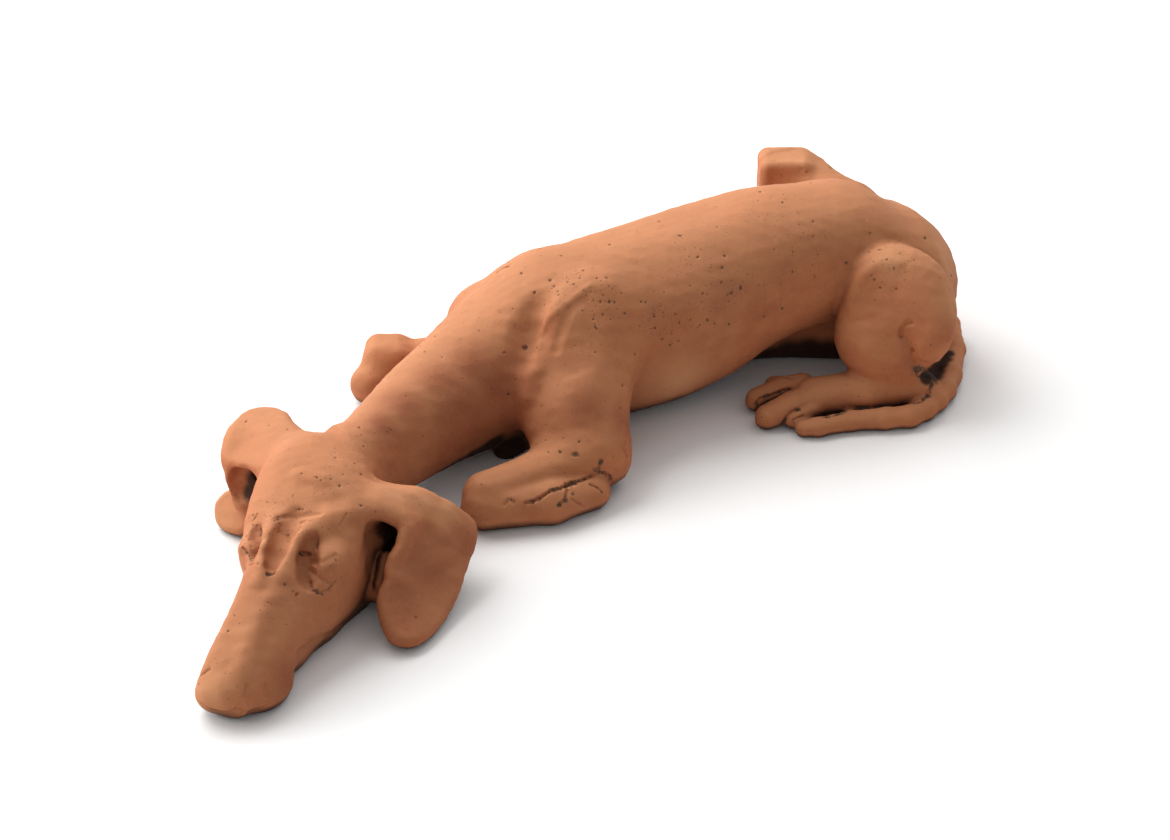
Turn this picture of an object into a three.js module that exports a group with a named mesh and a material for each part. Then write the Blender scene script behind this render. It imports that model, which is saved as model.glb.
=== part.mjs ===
// A hound lying with its head on the floor, hand built in terracotta and fired as one piece.
// Millimetres, +Z up, nose towards -X, the dog's left side towards -Y, standing on Z = 0.
import * as THREE from "three";

// Driving sizes
const LENGTH = 510; // nose to rump
const DRAWN_LENGTH = 509.6; // nose to rump as the form is drawn below
const GRID = 2.6; // spacing of the grid that the form is read on
const GRID_LOW = [-272, -140, -4]; // its lowest corner
const GRID_POINTS = [206, 104, 44]; // its points along each side
const BLOCK = 6; // points to the side of a block that is read once where it is far from the surface
const CLOSE = 12; // a plate farther off than this is read as a ball
const TRIANGLES = 9400; // faces kept in the finished solid
const FLAT = 0.4; // what lies this near the floor is laid on it
const CENTRE = [-1.3, -1.2]; // middle of its outline as drawn

// Trunk and neck: x, centre y, centre z, half width, half height
const TRUNK = [
  [-128, -8, 36, 21, 25],
  [-110, 3, 35, 23, 26],
  [-88, 16, 34, 27, 28],
  [-60, 28, 35, 31, 32],
  [-28, 38, 38, 36, 38],
  [10, 44, 42.5, 42, 47],
  [50, 40, 44, 46, 49],
  [80, 37, 46.5, 47, 49],
  [108, 34, 52, 45, 47.5],
  [140, 29, 61.5, 41, 42],
  [170, 23, 63.5, 39, 39],
  [198, 16, 58.5, 40, 41],
  [220, 8, 46, 38, 37],
];
// Underside of the belly that stands on the floor, same columns
const KEEL = [
  [90, 36, 22, 26, 22],
  [127, 44, 18, 22, 20],
  [150, 37, 18, 22, 20],
  [174, 24, 18, 24, 20],
  [196, 10, 18, 24, 20],
];
// Skull and muzzle in the head's own frame: forward, to its left, up
const SKULL = [
  [-172, -20, 34, 18, 20],
  [-160, -20, 33, 25, 27],
  [-148, -18, 34, 31, 30],
  [-130, -14, 35, 34, 32],
  [-112, -10, 32, 34, 31],
  [-95, -6, 29, 31, 29],
  [-80, -3, 26, 26, 26],
  [-65, 0, 23, 19, 22],
  [-48, 2, 19, 16, 18],
  [-28, 3, 15, 14, 14],
  [-16, 2, 13, 13, 11.5],
  [-10, 1, 11, 11, 8],
];
// Flat top of the muzzle
const BRIDGE = [
  [-84, -8, 34, 15, 18],
  [-60, -6, 30, 11.5, 16.5],
  [-40, -5, 25, 10.5, 14.5],
  [-22, -4, 18, 11, 11],
  [-12, -4, 11.5, 10, 8.5],
];
const NOSE = [-253, -119, 0];
const HEAD_TURN = 36;
const HEAD_ROLL = 0.12;
// Near ear in the head's frame: its upper leaf and the leaf folded down from it
const EAR_TOP = [[-144, 2, 48], [-154, 30, 43], [-160, 43, 34], [-163, 52, 26], [-154, 54, 21],
  [-132, 47, 22], [-113, 40, 24], [-113, 36, 30], [-122, 38, 38], [-130, 33, 46], [-127, 8, 53]];
const EAR_TOP_MID = [-143, 36, 38];
const EAR_LOW = [[-156, 54, 21], [-140, 57, 14], [-129, 58.5, 9], [-110, 59, 5], [-95, 56, 5], [-91, 49, 7],
  [-96, 41, 14], [-104, 37, 21], [-114, 40, 25], [-134, 48, 22]];
const EAR_LOW_MID = [-114, 51, 13];
// Far ear: roof, outer wall and the lobe on the floor
const FAR_ROOF = [[-146, -26, 54], [-156, -38, 53], [-165, -50, 53], [-176, -60, 52], [-179, -71, 50],
  [-173, -79, 48], [-158, -78, 45], [-147, -72, 42], [-141, -61, 44], [-139, -42, 50]];
const FAR_ROOF_MID = [-160, -58, 52];
const FAR_SIDE = [[-160, -78, 45], [-148, -74, 41], [-143, -71, 33], [-141, -69, 25], [-142, -65, 17],
  [-148, -60, 9], [-160, -66, 8], [-168, -78, 18], [-168, -82, 34]];
const FAR_SIDE_MID = [-155, -76, 28];
const FAR_LOBE = [[-150, -76, 15], [-147, -81, 10], [-143, -79, 5], [-140, -72, 4], [-140, -64, 6],
  [-146, -64, 14]];
const FAR_LOBE_MID = [-144, -73, 9];
// Outer face of the near shoulder
const BLADE = [[42, 12, 60], [32, 19, 78], [22, 19, 77], [13, 13, 72], [5, 5, 60], [-2, 1, 49], [-10, -5, 37],
  [-17, -18, 26], [0, -34, 20], [8, -34, 19], [16, -24, 31], [33, -4, 47]];
const BLADE_MID = [14, -8, 53];
// Outer face of the near thigh
const THIGH = [[189, -23, 72], [183, -19, 67], [178, -20, 57], [173, -24, 43], [170, -31, 33], [181, -42, 29],
  [193, -50, 34], [200, -52, 45], [203, -47, 59], [201, -38, 69], [196, -29, 72]];
const THIGH_MID = [189, -36, 52];

function skull(q) {
  let d = hull(tilt(q), SKULL, 2.4) * 0.9;
  d = join(d, hull(q, BRIDGE, 3.6) * 0.9, 9);
  d = join(d, oval(q, [-31, 9, 7], [17, 13, 10]), 4);
  d = join(d, oval(q, [-28, -6, 7], [18, 10, 10]), 4);
  d = join(d, oval(q, [-16.5, -1, 12.3], [13.2, 12, 10.9]), 4);
  d = join(d, oval(q, [-12, -7, 11], [9, 8.2, 8]), 3);
  d = join(d, limb(q, [[-112, 0, 8], [-86, 1, 7], [-60, 1, 7], [-30, 2, 6]], [22, 16, 13, 11], 5), 5);
  return d;
}

function brows(q, d) {
  d = join(d, oval(q, [-86, -19.5, 40], [13, 13, 10]), 6);
  d = join(d, oval(q, [-89, 14, 43], [10, 8, 8]), 5);
  d = join(d, limb(q, [[-133, 30, 46], [-126, 20, 50.5], [-117, 12, 53], [-105, 7, 54.5],
    [-94, 3, 55], [-85, 0, 53.5], [-76, 0, 50.5], [-66, 2, 46.5]], [3, 4, 4.5, 4.6, 4.2, 4, 4, 3.6], 3), 5);
  d = join(d, limb(q, [[-102, -18, 53], [-92, -16.5, 54.5], [-82, -13.5, 53.5],
    [-73, -10.5, 52], [-65, -8, 49], [-57, -6, 45]], [3, 3.6, 3.6, 3.4, 3.2, 3], 3), 4);
  d = cut(d, limb(q, [[-97, -7.5, 61.5], [-84, -6.5, 58], [-73, -5, 54], [-66, -4, 50.5]],
    [4.5, 5, 4.2, 3], 3), 3);
  d = cut(d, limb(q, [[-87, -25, 52], [-80, -20, 51.5], [-73, -15, 50]], [3, 4.2, 4], 2), 2);
  d = join(d, oval(q, [-78.5, -22.5, 45], [5, 6.5, 4.6]), 1.2);
  d = cut(d, limb(q, [[-86, 7, 54], [-79, 8, 48.5], [-72, 11, 43.5]], [3, 4.5, 4], 3), 4);
  return d;
}

function ears(q, d) {
  d = join(d, oval(q, [-146, 28, 22], [20, 22, 22]), 8);
  d = join(d, limb(q, [[-126, 6, 47], [-136, 20, 44.5], [-150, 30, 40]], [11, 10, 8], 5), 8);
  d = join(d, limb(q, [[-120, 22, 12], [-115, 37, 9]], [10, 6], 3), 4);
  d = join(d, oval(q, [-160, -52, 24], [18, 22, 24]), 8);
  d = join(d, limb(q, [[-152, -28, 48], [-162, -46, 46]], [10, 9], 5), 8);
  d = cut(d, limb(q, [[-108, 30, 38], [-122, 27, 40], [-148, 26, 35]], [6, 9, 7], 3), 3);
  d = cut(d, limb(q, [[-102, 31, 27], [-114, 29, 28], [-140, 30, 27]], [3, 6.5, 6], 3), 3);
  d = cut(d, limb(q, [[-128, -57, 39], [-152, -58, 37]], [8, 8], 3), 3);
  d = cut(d, limb(q, [[-130, -57, 26], [-150, -60, 26]], [7.5, 6], 3), 3);
  let a = leaf(q, EAR_TOP_MID, EAR_TOP, 4.4);
  a = join(a, leaf(q, EAR_LOW_MID, EAR_LOW, 4.2), 4);
  a = join(a, limb(q, [[-138, 17, 49], [-149, 29, 43], [-157, 42, 34.5], [-157, 50, 26]],
    [6.5, 6.3, 5.8, 4.8], 3), 6);
  d = join(d, a, 5);
  d = join(d, limb(q, [[-124, 27, 24], [-113, 30, 17.5]], [4.5, 4], 3), 2);
  a = leaf(q, FAR_ROOF_MID, FAR_ROOF, 4.2);
  a = join(a, leaf(q, FAR_SIDE_MID, FAR_SIDE, 4), 7);
  a = join(a, limb(q, [[-146, -68, 40], [-145, -66, 30], [-147, -63, 18]], [5, 4.5, 4], 3), 4);
  a = join(a, leaf(q, FAR_LOBE_MID, FAR_LOBE, 4), 4);
  d = join(d, a, 8);
  d = cut(d, limb(q, [[-133, -59, 40], [-132, -63, 29]], [7.5, 7], 3), 2.5);
  d = cut(d, limb(q, [[-141, -63, 37], [-140, -67, 27]], [7, 6.5], 3), 2.5);
  return d;
}

function shoulders(p, d) {
  d = join(d, limb(p, [[-8, 6, 40], [0, -12, 34], [2, -32, 20]], [19, 18, 15], 8), 12);
  d = join(d, leaf(p, BLADE_MID, BLADE, 9), 14);
  d = join(d, limb(p, [[36, 18, 84], [17, 20.5, 82], [4, 16.5, 80.5], [-8, 9.5, 69],
    [-16, 2, 58], [-22, -4, 47]], [3, 3, 3.2, 3.4, 3.2, 2.6], 5), 6);
  d = cut(d, limb(p, [[-3, 20, 85], [-12, 10, 76], [-20, 5, 66]], [5, 7.5, 5], 6), 8);
  d = join(d, limb(p, [[20, 58, 64], [0, 70, 46]], [17, 18], 8), 16);
  d = join(d, limb(p, [[-7, 77, 44], [0, 86, 28], [0, 90, 16]], [18, 19, 15], 8), 12);
  return d;
}

function forelegs(p, d) {
  d = join(d, limb(p, [[1, -32, 19], [-30, -32, 16], [-62, -31, 15]], [16, 13, 12], 4), 8);
  d = join(d, limb(p, [[-65, -35, 10], [-32, -46, 9.5], [-9, -47, 8.5]], [12, 12, 10.5], 4), 2);
  d = join(d, oval(p, [11, -35, 12], [8, 9, 9]), 4);
  d = join(d, limb(p, [[-6, 24, 3], [-25, 16, 1]], [9, 6.5], 2), 4);
  d = join(d, limb(p, [[0, 90, 14], [-30, 98, 13], [-50, 106, 12]], [14, 13, 12], 4), 10);
  d = join(d, block(p, [-50, 106, 14.5], [13, 13, 14.5], 8, -29.5), 5);
  d = join(d, limb(p, [[-52, 103, 14], [-65, 98, 10]], [13, 11], 4), 4);
  return d;
}

function nearhind(p, d) {
  d = join(d, leaf(p, THIGH_MID, THIGH, 13), 4);
  d = cut(d, limb(p, [[181, -54, 49], [183, -61, 32]], [3.5, 4], 3), 3);
  d = cut(d, limb(p, [[183, -61, 32], [196, -64, 23]], [4, 7], 3), 3);
  d = join(d, limb(p, [[175, -36, 30], [183, -42, 14], [195, -53, 10]], [14, 13, 10], 4), 6);
  d = join(d, limb(p, [[189, -49, 8], [165, -41, 8], [140, -31, 8]], [12, 13, 12], 4), 5);
  d = join(d, limb(p, [[143, -17, 7], [129, -8, 7]], [6, 5], 1), 1);
  d = join(d, limb(p, [[140, -20, 9], [129, -17, 9], [114, -15, 6.5]], [8, 7.5, 6.5], 1), 1);
  d = join(d, limb(p, [[137, -32, 9], [126, -32, 9], [110, -31, 6]], [8, 8, 7], 1), 1);
  d = join(d, limb(p, [[138, -38, 7], [122, -39, 5.5]], [6, 5.5], 1), 1);
  return d;
}

function farhind(p, d) {
  d = join(d, block(p, [201, 98, 66.5], [15, 12, 14], 5.5, -29.5), 4);
  d = join(d, limb(p, [[214, 92, 66], [218, 56, 57]], [12.5, 12], 4), 6);
  d = join(d, limb(p, [[206, 90, 56], [224, 66, 50], [224, 50, 34]], [14, 20, 20], 4), 8);
  d = join(d, limb(p, [[204, 98, 56], [202, 98, 40], [206, 92, 18]], [13, 14, 14], 4), 8);
  d = join(d, limb(p, [[208, 92, 12], [170, 88, 10], [140, 84, 9]], [13, 14, 13], 4), 8);
  return d;
}

function tail(p, d) {
  d = join(d, limb(p, [[236, 16, 18], [246, -6, 8.5], [236, -26, 6.5], [220, -46, 6], [209, -56, 5.6],
    [199, -62, 5.4], [189, -66, 5.3], [178, -68, 5.2], [165, -63, 5],
    [148, -55, 4.8], [130, -51, 4.4], [123, -48, 4]],
    [9, 7.2, 6.8, 6.6, 6.4, 6.3, 6.2, 6, 5.8, 5.6, 5.2, 4.8], 2.5), 2.5);
  d = join(d, limb(p, [[226, -22, 3], [202, -50, 3]], [9, 7], 2), 4);
  return d;
}

function head(p, d) {
  let q = tohead(p);
  d = join(d, ears(q, brows(q, skull(q))), 10);
  return d;
}

function hound(p) {
  let d = hull(p, TRUNK, 2.2);
  d = join(d, oval(p, [219, 4, 43.5], [28.3, 36, 38]), 16);
  d = join(d, hull(p, KEEL, 2.4), 6);
  d = span(p, d, -130, 90, shoulders);
  d = span(p, d, -120, 60, forelegs);
  d = span(p, d, 70, 300, nearhind);
  d = span(p, d, 90, 300, farhind);
  d = span(p, d, 80, 300, tail);
  d = span(p, d, -400, -20, head);
  return d;
}

// Distances to simple forms, negative inside. join and cut blend them over k millimetres.
function join(a, b, k) {
  const h = Math.max(k - Math.abs(a - b), 0) / k;
  return Math.min(a, b) - h * h * k * 0.25;
}

function cut(a, b, k) {
  return -join(-a, b, k);
}

// Chain of round cones through the points
function limb(p, points, radii, k) {
  let d = Infinity;
  for (let i = 0; i + 1 < points.length; i++) {
    const a = points[i];
    const b = points[i + 1];
    const v = [b[0] - a[0], b[1] - a[1], b[2] - a[2]];
    const q = [p[0] - a[0], p[1] - a[1], p[2] - a[2]];
    const t = Math.min(Math.max(dot(q, v) / dot(v, v), 0), 1);
    const r = radii[i] + (radii[i + 1] - radii[i]) * t;
    const c = Math.hypot(q[0] - t * v[0], q[1] - t * v[1], q[2] - t * v[2]) - r;
    d = i ? join(d, c, k) : c;
  }
  return d;
}

// Ellipsoid
function oval(p, centre, radii) {
  let a = 0;
  let b = 1e-9;
  for (let i = 0; i < 3; i++) {
    const u = (p[i] - centre[i]) / radii[i];
    a += u * u;
    b += (u / radii[i]) ** 2;
  }
  a = Math.sqrt(a);
  return (a * (a - 1)) / Math.sqrt(b);
}

// Rounded box turned about the vertical
function block(p, centre, half, rounding, turn) {
  const c = Math.cos((turn * Math.PI) / 180);
  const s = Math.sin((turn * Math.PI) / 180);
  const x = p[0] - centre[0];
  const y = p[1] - centre[1];
  const q = [c * x + s * y, c * y - s * x, p[2] - centre[2]];
  const d = q.map((v, i) => Math.abs(v) - half[i] + rounding);
  const outside = Math.hypot(...d.map((v) => Math.max(v, 0)));
  return outside + Math.min(Math.max(...d), 0) - rounding;
}

// Smooth tube along the first axis through oval stations: position, centre, centre, half width, half height
function hull(p, stations, n) {
  const last = stations.length - 1;
  const x = Math.min(Math.max(p[0], stations[0][0]), stations[last][0]);
  let i = 0;
  while (i < last - 1 && x > stations[i + 1][0]) i++;
  const h = stations[i + 1][0] - stations[i][0];
  const t = (x - stations[i][0]) / h;
  const u = [];
  for (let j = 1; j < 5; j++) {
    u.push(
      (2 * t ** 3 - 3 * t ** 2 + 1) * stations[i][j] +
        (t ** 3 - 2 * t ** 2 + t) * h * slope(stations, i, j) +
        (3 * t ** 2 - 2 * t ** 3) * stations[i + 1][j] +
        (t ** 3 - t ** 2) * h * slope(stations, i + 1, j),
    );
  }
  const a = Math.abs(p[1] - u[0]) / u[2];
  const b = Math.abs(p[2] - u[1]) / u[3];
  const f = ((a ** n + b ** n) ** (1 / n) - 1) * Math.min(u[2], u[3]);
  const beyond = Math.abs(p[0] - x);
  return beyond > 0 ? Math.hypot(Math.max(f, 0), beyond) : f;
}

// Slope of a station column, a weighted mean of the two neighbouring slopes
function slope(stations, i, j) {
  const last = stations.length - 1;
  const rise = (k) => (stations[k + 1][j] - stations[k][j]) / (stations[k + 1][0] - stations[k][0]);
  if (i === 0) return rise(0);
  if (i === last) return rise(last - 1);
  const before = stations[i][0] - stations[i - 1][0];
  const after = stations[i + 1][0] - stations[i][0];
  return (rise(i - 1) * after + rise(i) * before) / (before + after);
}

// Smooth closed line through the rim's points, with two more points on each side
function rounded(rim) {
  const line = [];
  rim.forEach((b, i) => {
    const a = rim[(i + rim.length - 1) % rim.length];
    const c = rim[(i + 1) % rim.length];
    const e = rim[(i + 2) % rim.length];
    for (const t of [0, 1 / 3, 2 / 3]) {
      line.push(
        b.map((v, m) => {
          const bend = 2 * a[m] - 5 * v + 4 * c[m] - e[m];
          const twist = 3 * v - a[m] - 3 * c[m] + e[m];
          return v + ((c[m] - a[m]) * t + bend * t ** 2 + twist * t ** 3) / 2;
        }),
      );
    }
  });
  return line;
}

// Rounded plate: a fan from a middle point to a smooth rim, half as thick on each face
const plates = new Map();
function leaf(p, middle, rim, half) {
  if (!plates.has(rim)) {
    const line = rounded(rim);
    plates.set(rim, { line, reach: Math.max(...line.map((point) => Math.hypot(...sub(point, middle)))) });
  }
  const { line, reach } = plates.get(rim);
  const far = Math.hypot(...sub(p, middle)) - reach - half;
  if (far >= CLOSE) return far;
  let d = Infinity;
  for (let i = 0; i < line.length; i++) {
    d = Math.min(d, triangle(p, middle, line[i], line[(i + 1) % line.length]));
  }
  return Math.sqrt(d) - half;
}

// Adds a part of the figure where x is between start and end
function span(p, d, start, end, add) {
  return p[0] > start && p[0] < end ? add(p, d) : d;
}

// Squared distance to a triangle
function triangle(p, a, b, c) {
  const corners = [a, b, c];
  const n = cross(sub(b, a), sub(c, a));
  let inside = true;
  let edge = Infinity;
  for (let i = 0; i < 3; i++) {
    const v = sub(corners[(i + 1) % 3], corners[i]);
    const q = sub(p, corners[i]);
    if (dot(q, cross(n, v)) < 0) inside = false;
    const t = Math.min(Math.max(dot(q, v) / dot(v, v), 0), 1);
    edge = Math.min(edge, (q[0] - t * v[0]) ** 2 + (q[1] - t * v[1]) ** 2 + (q[2] - t * v[2]) ** 2);
  }
  return inside ? dot(sub(p, a), n) ** 2 / dot(n, n) : edge;
}

function dot(a, b) {
  return a[0] * b[0] + a[1] * b[1] + a[2] * b[2];
}

function sub(a, b) {
  return [a[0] - b[0], a[1] - b[1], a[2] - b[2]];
}

function cross(a, b) {
  return [a[1] * b[2] - a[2] * b[1], a[2] * b[0] - a[0] * b[2], a[0] * b[1] - a[1] * b[0]];
}

// The head's own frame: x from the nose forward, y to the dog's left, z up
function tohead(p) {
  const c = Math.cos((HEAD_TURN * Math.PI) / 180);
  const s = Math.sin((HEAD_TURN * Math.PI) / 180);
  const x = p[0] - NOSE[0];
  const y = p[1] - NOSE[1];
  return [-c * x - s * y, s * x - c * y, p[2]];
}

// The skull leans down to the dog's left
function tilt(q) {
  const lean = Math.min(Math.max((-q[0] - 50) / 50, 0), 1);
  return [q[0], q[1], q[2] + HEAD_ROLL * (q[1] + 8) * lean];
}

// Flat underside on the floor
function solid(p) {
  return Math.max(hound(p), -p[2]);
}

// Field on a grid, with the far blocks filled from one reading each
function readField(low, size) {
  const [nx, ny, nz] = size;
  const field = new Float64Array(nx * ny * nz);
  const reach = BLOCK * GRID * Math.sqrt(3) * 0.65 + 1;
  for (let i = 0; i < nx; i += BLOCK) {
    for (let j = 0; j < ny; j += BLOCK) {
      for (let k = 0; k < nz; k += BLOCK) {
        const middle = [i, j, k].map((v, a) => low[a] + (v + (BLOCK - 1) / 2) * GRID);
        const far = solid(middle);
        for (let a = i; a < Math.min(i + BLOCK, nx); a++) {
          for (let b = j; b < Math.min(j + BLOCK, ny); b++) {
            for (let c = k; c < Math.min(k + BLOCK, nz); c++) {
              const p = [low[0] + a * GRID, low[1] + b * GRID, low[2] + c * GRID];
              field[(a * ny + b) * nz + c] = Math.abs(far) > reach ? far : solid(p);
            }
          }
        }
      }
    }
  }
  return field;
}

// Fills corners of cells where the surface would touch itself, so that it stays one clean skin
function mend(field, size) {
  const [nx, ny, nz] = size;
  const offsets = [];
  for (let c = 0; c < 8; c++) offsets.push(((c >> 2) & 1) * ny * nz + ((c >> 1) & 1) * nz + (c & 1));
  const joined = (cell, inside) => {
    const set = [0, 1, 2, 3, 4, 5, 6, 7].filter((c) => field[cell + offsets[c]] < 0 === inside);
    const seen = new Set(set.slice(0, 1));
    for (const c of seen) {
      [1, 2, 4].filter((b) => set.includes(c ^ b)).forEach((b) => seen.add(c ^ b));
    }
    return seen.size === set.length;
  };
  let changed = true;
  while (changed) {
    changed = false;
    for (let i = 0; i + 1 < nx; i++) {
      for (let j = 0; j + 1 < ny; j++) {
        for (let k = 0; k + 1 < nz; k++) {
          const cell = (i * ny + j) * nz + k;
          while (!joined(cell, true) || !joined(cell, false)) {
            const outside = offsets.filter((o) => field[cell + o] >= 0);
            outside.sort((a, b) => field[cell + a] - field[cell + b]);
            field[cell + outside[0]] = -0.1;
            changed = true;
          }
        }
      }
    }
  }
}

// Closed surface of the field: a vertex in each cell that the surface crosses, and faces round each crossing
function wrapField(field, low, size) {
  const [nx, ny, nz] = size;
  const step = [ny * nz, nz, 1];
  const corners = [];
  for (let c = 0; c < 8; c++) corners.push([(c >> 2) & 1, (c >> 1) & 1, c & 1]);
  const vertexOf = new Map();
  const points = [];
  for (let i = 0; i + 1 < nx; i++) {
    for (let j = 0; j + 1 < ny; j++) {
      for (let k = 0; k + 1 < nz; k++) {
        const cell = i * step[0] + j * step[1] + k;
        const values = corners.map((c) => field[cell + c[0] * step[0] + c[1] * step[1] + c[2]]);
        const below = values.filter((v) => v < 0).length;
        if (below === 0 || below === 8) continue;
        const sum = [0, 0, 0];
        let crossings = 0;
        for (let a = 0; a < 8; a++) {
          for (let axis = 0; axis < 3; axis++) {
            const b = a | (4 >> axis);
            if (b === a || values[a] < 0 === values[b] < 0) continue;
            const t = values[a] / (values[a] - values[b]);
            for (let m = 0; m < 3; m++) sum[m] += corners[a][m] + (m === axis ? t : 0);
            crossings++;
          }
        }
        vertexOf.set(cell, points.length);
        points.push([i, j, k].map((v, m) => low[m] + (v + sum[m] / crossings) * GRID));
      }
    }
  }
  const faces = [];
  for (let i = 1; i + 1 < nx; i++) {
    for (let j = 1; j + 1 < ny; j++) {
      for (let k = 1; k + 1 < nz; k++) {
        const here = i * step[0] + j * step[1] + k;
        for (let axis = 0; axis < 3; axis++) {
          const inside = field[here] < 0;
          if (inside === field[here + step[axis]] < 0) continue;
          const u = step[(axis + 1) % 3];
          const v = step[(axis + 2) % 3];
          const ring = [here - u - v, here - v, here, here - u].map((cell) => vertexOf.get(cell));
          if (!inside) ring.reverse();
          faces.push([ring[0], ring[1], ring[2]], [ring[0], ring[2], ring[3]]);
        }
      }
    }
  }
  return { points, faces };
}

// Drops the edges that matter least to the shape, one at a time, until the count of faces is met
function thin(points, faces, wanted) {
  const count = points.length;
  const quadrics = points.map(() => new Float64Array(10));
  const around = points.map(() => new Set());
  faces.forEach((face, f) => {
    const [a, b, c] = face.map((v) => points[v]);
    const n = cross(sub(b, a), sub(c, a));
    const size = Math.hypot(...n);
    const m = [n[0] / size, n[1] / size, n[2] / size];
    m.push(-dot(m, a));
    face.forEach((v) => {
      around[v].add(f);
      let at = 0;
      for (let i = 0; i < 4; i++) {
        for (let j = i; j < 4; j++) quadrics[v][at++] += m[i] * m[j] * size;
      }
    });
  });
  const cost = (q, x) => {
    const squares = q[0] * x[0] ** 2 + q[4] * x[1] ** 2 + q[7] * x[2] ** 2;
    const products = q[1] * x[0] * x[1] + q[2] * x[0] * x[2] + q[5] * x[1] * x[2];
    return squares + 2 * (products + q[3] * x[0] + q[6] * x[1] + q[8] * x[2]) + q[9];
  };
  const stamp = new Uint32Array(count);
  const heap = [];
  const push = (item) => {
    let i = heap.length;
    heap.push(item);
    while (i > 0) {
      const up = (i - 1) >> 1;
      if (heap[up].cost <= item.cost) break;
      heap[i] = heap[up];
      i = up;
    }
    heap[i] = item;
  };
  const pop = () => {
    const top = heap[0];
    const item = heap.pop();
    if (heap.length === 0) return top;
    let i = 0;
    for (;;) {
      let child = 2 * i + 1;
      if (child >= heap.length) break;
      if (child + 1 < heap.length && heap[child + 1].cost < heap[child].cost) child++;
      if (heap[child].cost >= item.cost) break;
      heap[i] = heap[child];
      i = child;
    }
    heap[i] = item;
    return top;
  };
  const offer = (a, b) => {
    const q = quadrics[a].map((v, i) => v + quadrics[b][i]);
    const middle = points[a].map((v, i) => (v + points[b][i]) / 2);
    const rows = [[q[0], q[1], q[2]], [q[1], q[4], q[5]], [q[2], q[5], q[7]]];
    const right = [-q[3], -q[6], -q[8]];
    const det = dot(rows[0], cross(rows[1], rows[2]));
    const scale = (q[0] + q[4] + q[7]) ** 3;
    const choices = [points[a], points[b], middle];
    if (Math.abs(det) > 1e-4 * scale) {
      choices.unshift([
        dot(right, cross(rows[1], rows[2])) / det,
        dot(right, cross(rows[2], rows[0])) / det,
        dot(right, cross(rows[0], rows[1])) / det,
      ]);
    }
    const length = Math.hypot(...sub(points[a], points[b]));
    let best = null;
    for (const x of choices) {
      if (Math.hypot(...sub(x, middle)) > 2 * length) continue;
      const c = Math.max(cost(q, x), 0) + 1e-3 * length * length;
      if (!best || c < best.cost) best = { cost: c, a, b, x, sa: stamp[a], sb: stamp[b] };
    }
    push(best);
  };
  const neighbours = (v) => {
    const set = new Set();
    around[v].forEach((f) => faces[f].forEach((w) => set.add(w)));
    set.delete(v);
    return set;
  };
  faces.forEach((face) => {
    for (let i = 0; i < 3; i++) if (face[i] < face[(i + 1) % 3]) offer(face[i], face[(i + 1) % 3]);
  });
  let left = faces.length;
  while (left > wanted && heap.length) {
    const { a, b, x, sa, sb } = pop();
    if (stamp[a] !== sa || stamp[b] !== sb) continue;
    const near = neighbours(a);
    const shared = [...neighbours(b)].filter((v) => near.has(v));
    if (shared.length !== 2) continue;
    const turned = (v, other) =>
      [...around[v]].some((f) => {
        const face = faces[f];
        if (face.includes(other)) return false;
        const old = face.map((w) => points[w]);
        const now = face.map((w) => (w === v ? x : points[w]));
        const n0 = cross(sub(old[1], old[0]), sub(old[2], old[0]));
        const n1 = cross(sub(now[1], now[0]), sub(now[2], now[0]));
        const sides = now.map((w, i) => sub(w, now[(i + 1) % 3]));
        const longest = Math.max(...sides.map((side) => dot(side, side)));
        const size = Math.hypot(...n1);
        return dot(n0, n1) < 0.5 * Math.hypot(...n0) * size || size < 0.12 * longest;
      });
    if (turned(a, b) || turned(b, a)) continue;
    points[a] = x;
    quadrics[b].forEach((v, i) => (quadrics[a][i] += v));
    for (const f of around[b]) {
      if (faces[f].includes(a)) {
        faces[f].forEach((v) => v !== b && around[v].delete(f));
        faces[f] = null;
        left--;
      } else {
        faces[f] = faces[f].map((v) => (v === b ? a : v));
        around[a].add(f);
      }
    }
    around[b].clear();
    stamp[a]++;
    stamp[b]++;
    neighbours(a).forEach((v) => offer(a, v));
  }
  return faces.filter((face) => face);
}

const field = readField(GRID_LOW, GRID_POINTS);
mend(field, GRID_POINTS);
const { points, faces } = wrapField(field, GRID_LOW, GRID_POINTS);
const kept = thin(points, faces, TRIANGLES);

// Scaled to the named length, centred over the floor, with the underside flat at Z = 0
const scale = LENGTH / DRAWN_LENGTH;
const index = new Map();
const position = [];
kept.flat().forEach((v) => {
  if (index.has(v)) return;
  index.set(v, index.size);
  const [x, y, z] = points[v];
  position.push((x - CENTRE[0]) * scale, (y - CENTRE[1]) * scale, Math.abs(z) < FLAT ? 0 : z * scale);
});
const geometry = new THREE.BufferGeometry();
geometry.setAttribute("position", new THREE.Float32BufferAttribute(position, 3));
geometry.setIndex(kept.flat().map((v) => index.get(v)));
geometry.computeVertexNormals();

const terracotta = new THREE.MeshStandardMaterial({ color: 0xb5714c, roughness: 0.85, metalness: 0 });
const dog = new THREE.Mesh(geometry, terracotta);
dog.name = "dog";

const group = new THREE.Group();
group.add(dog);

export default group;
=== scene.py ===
import math

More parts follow.
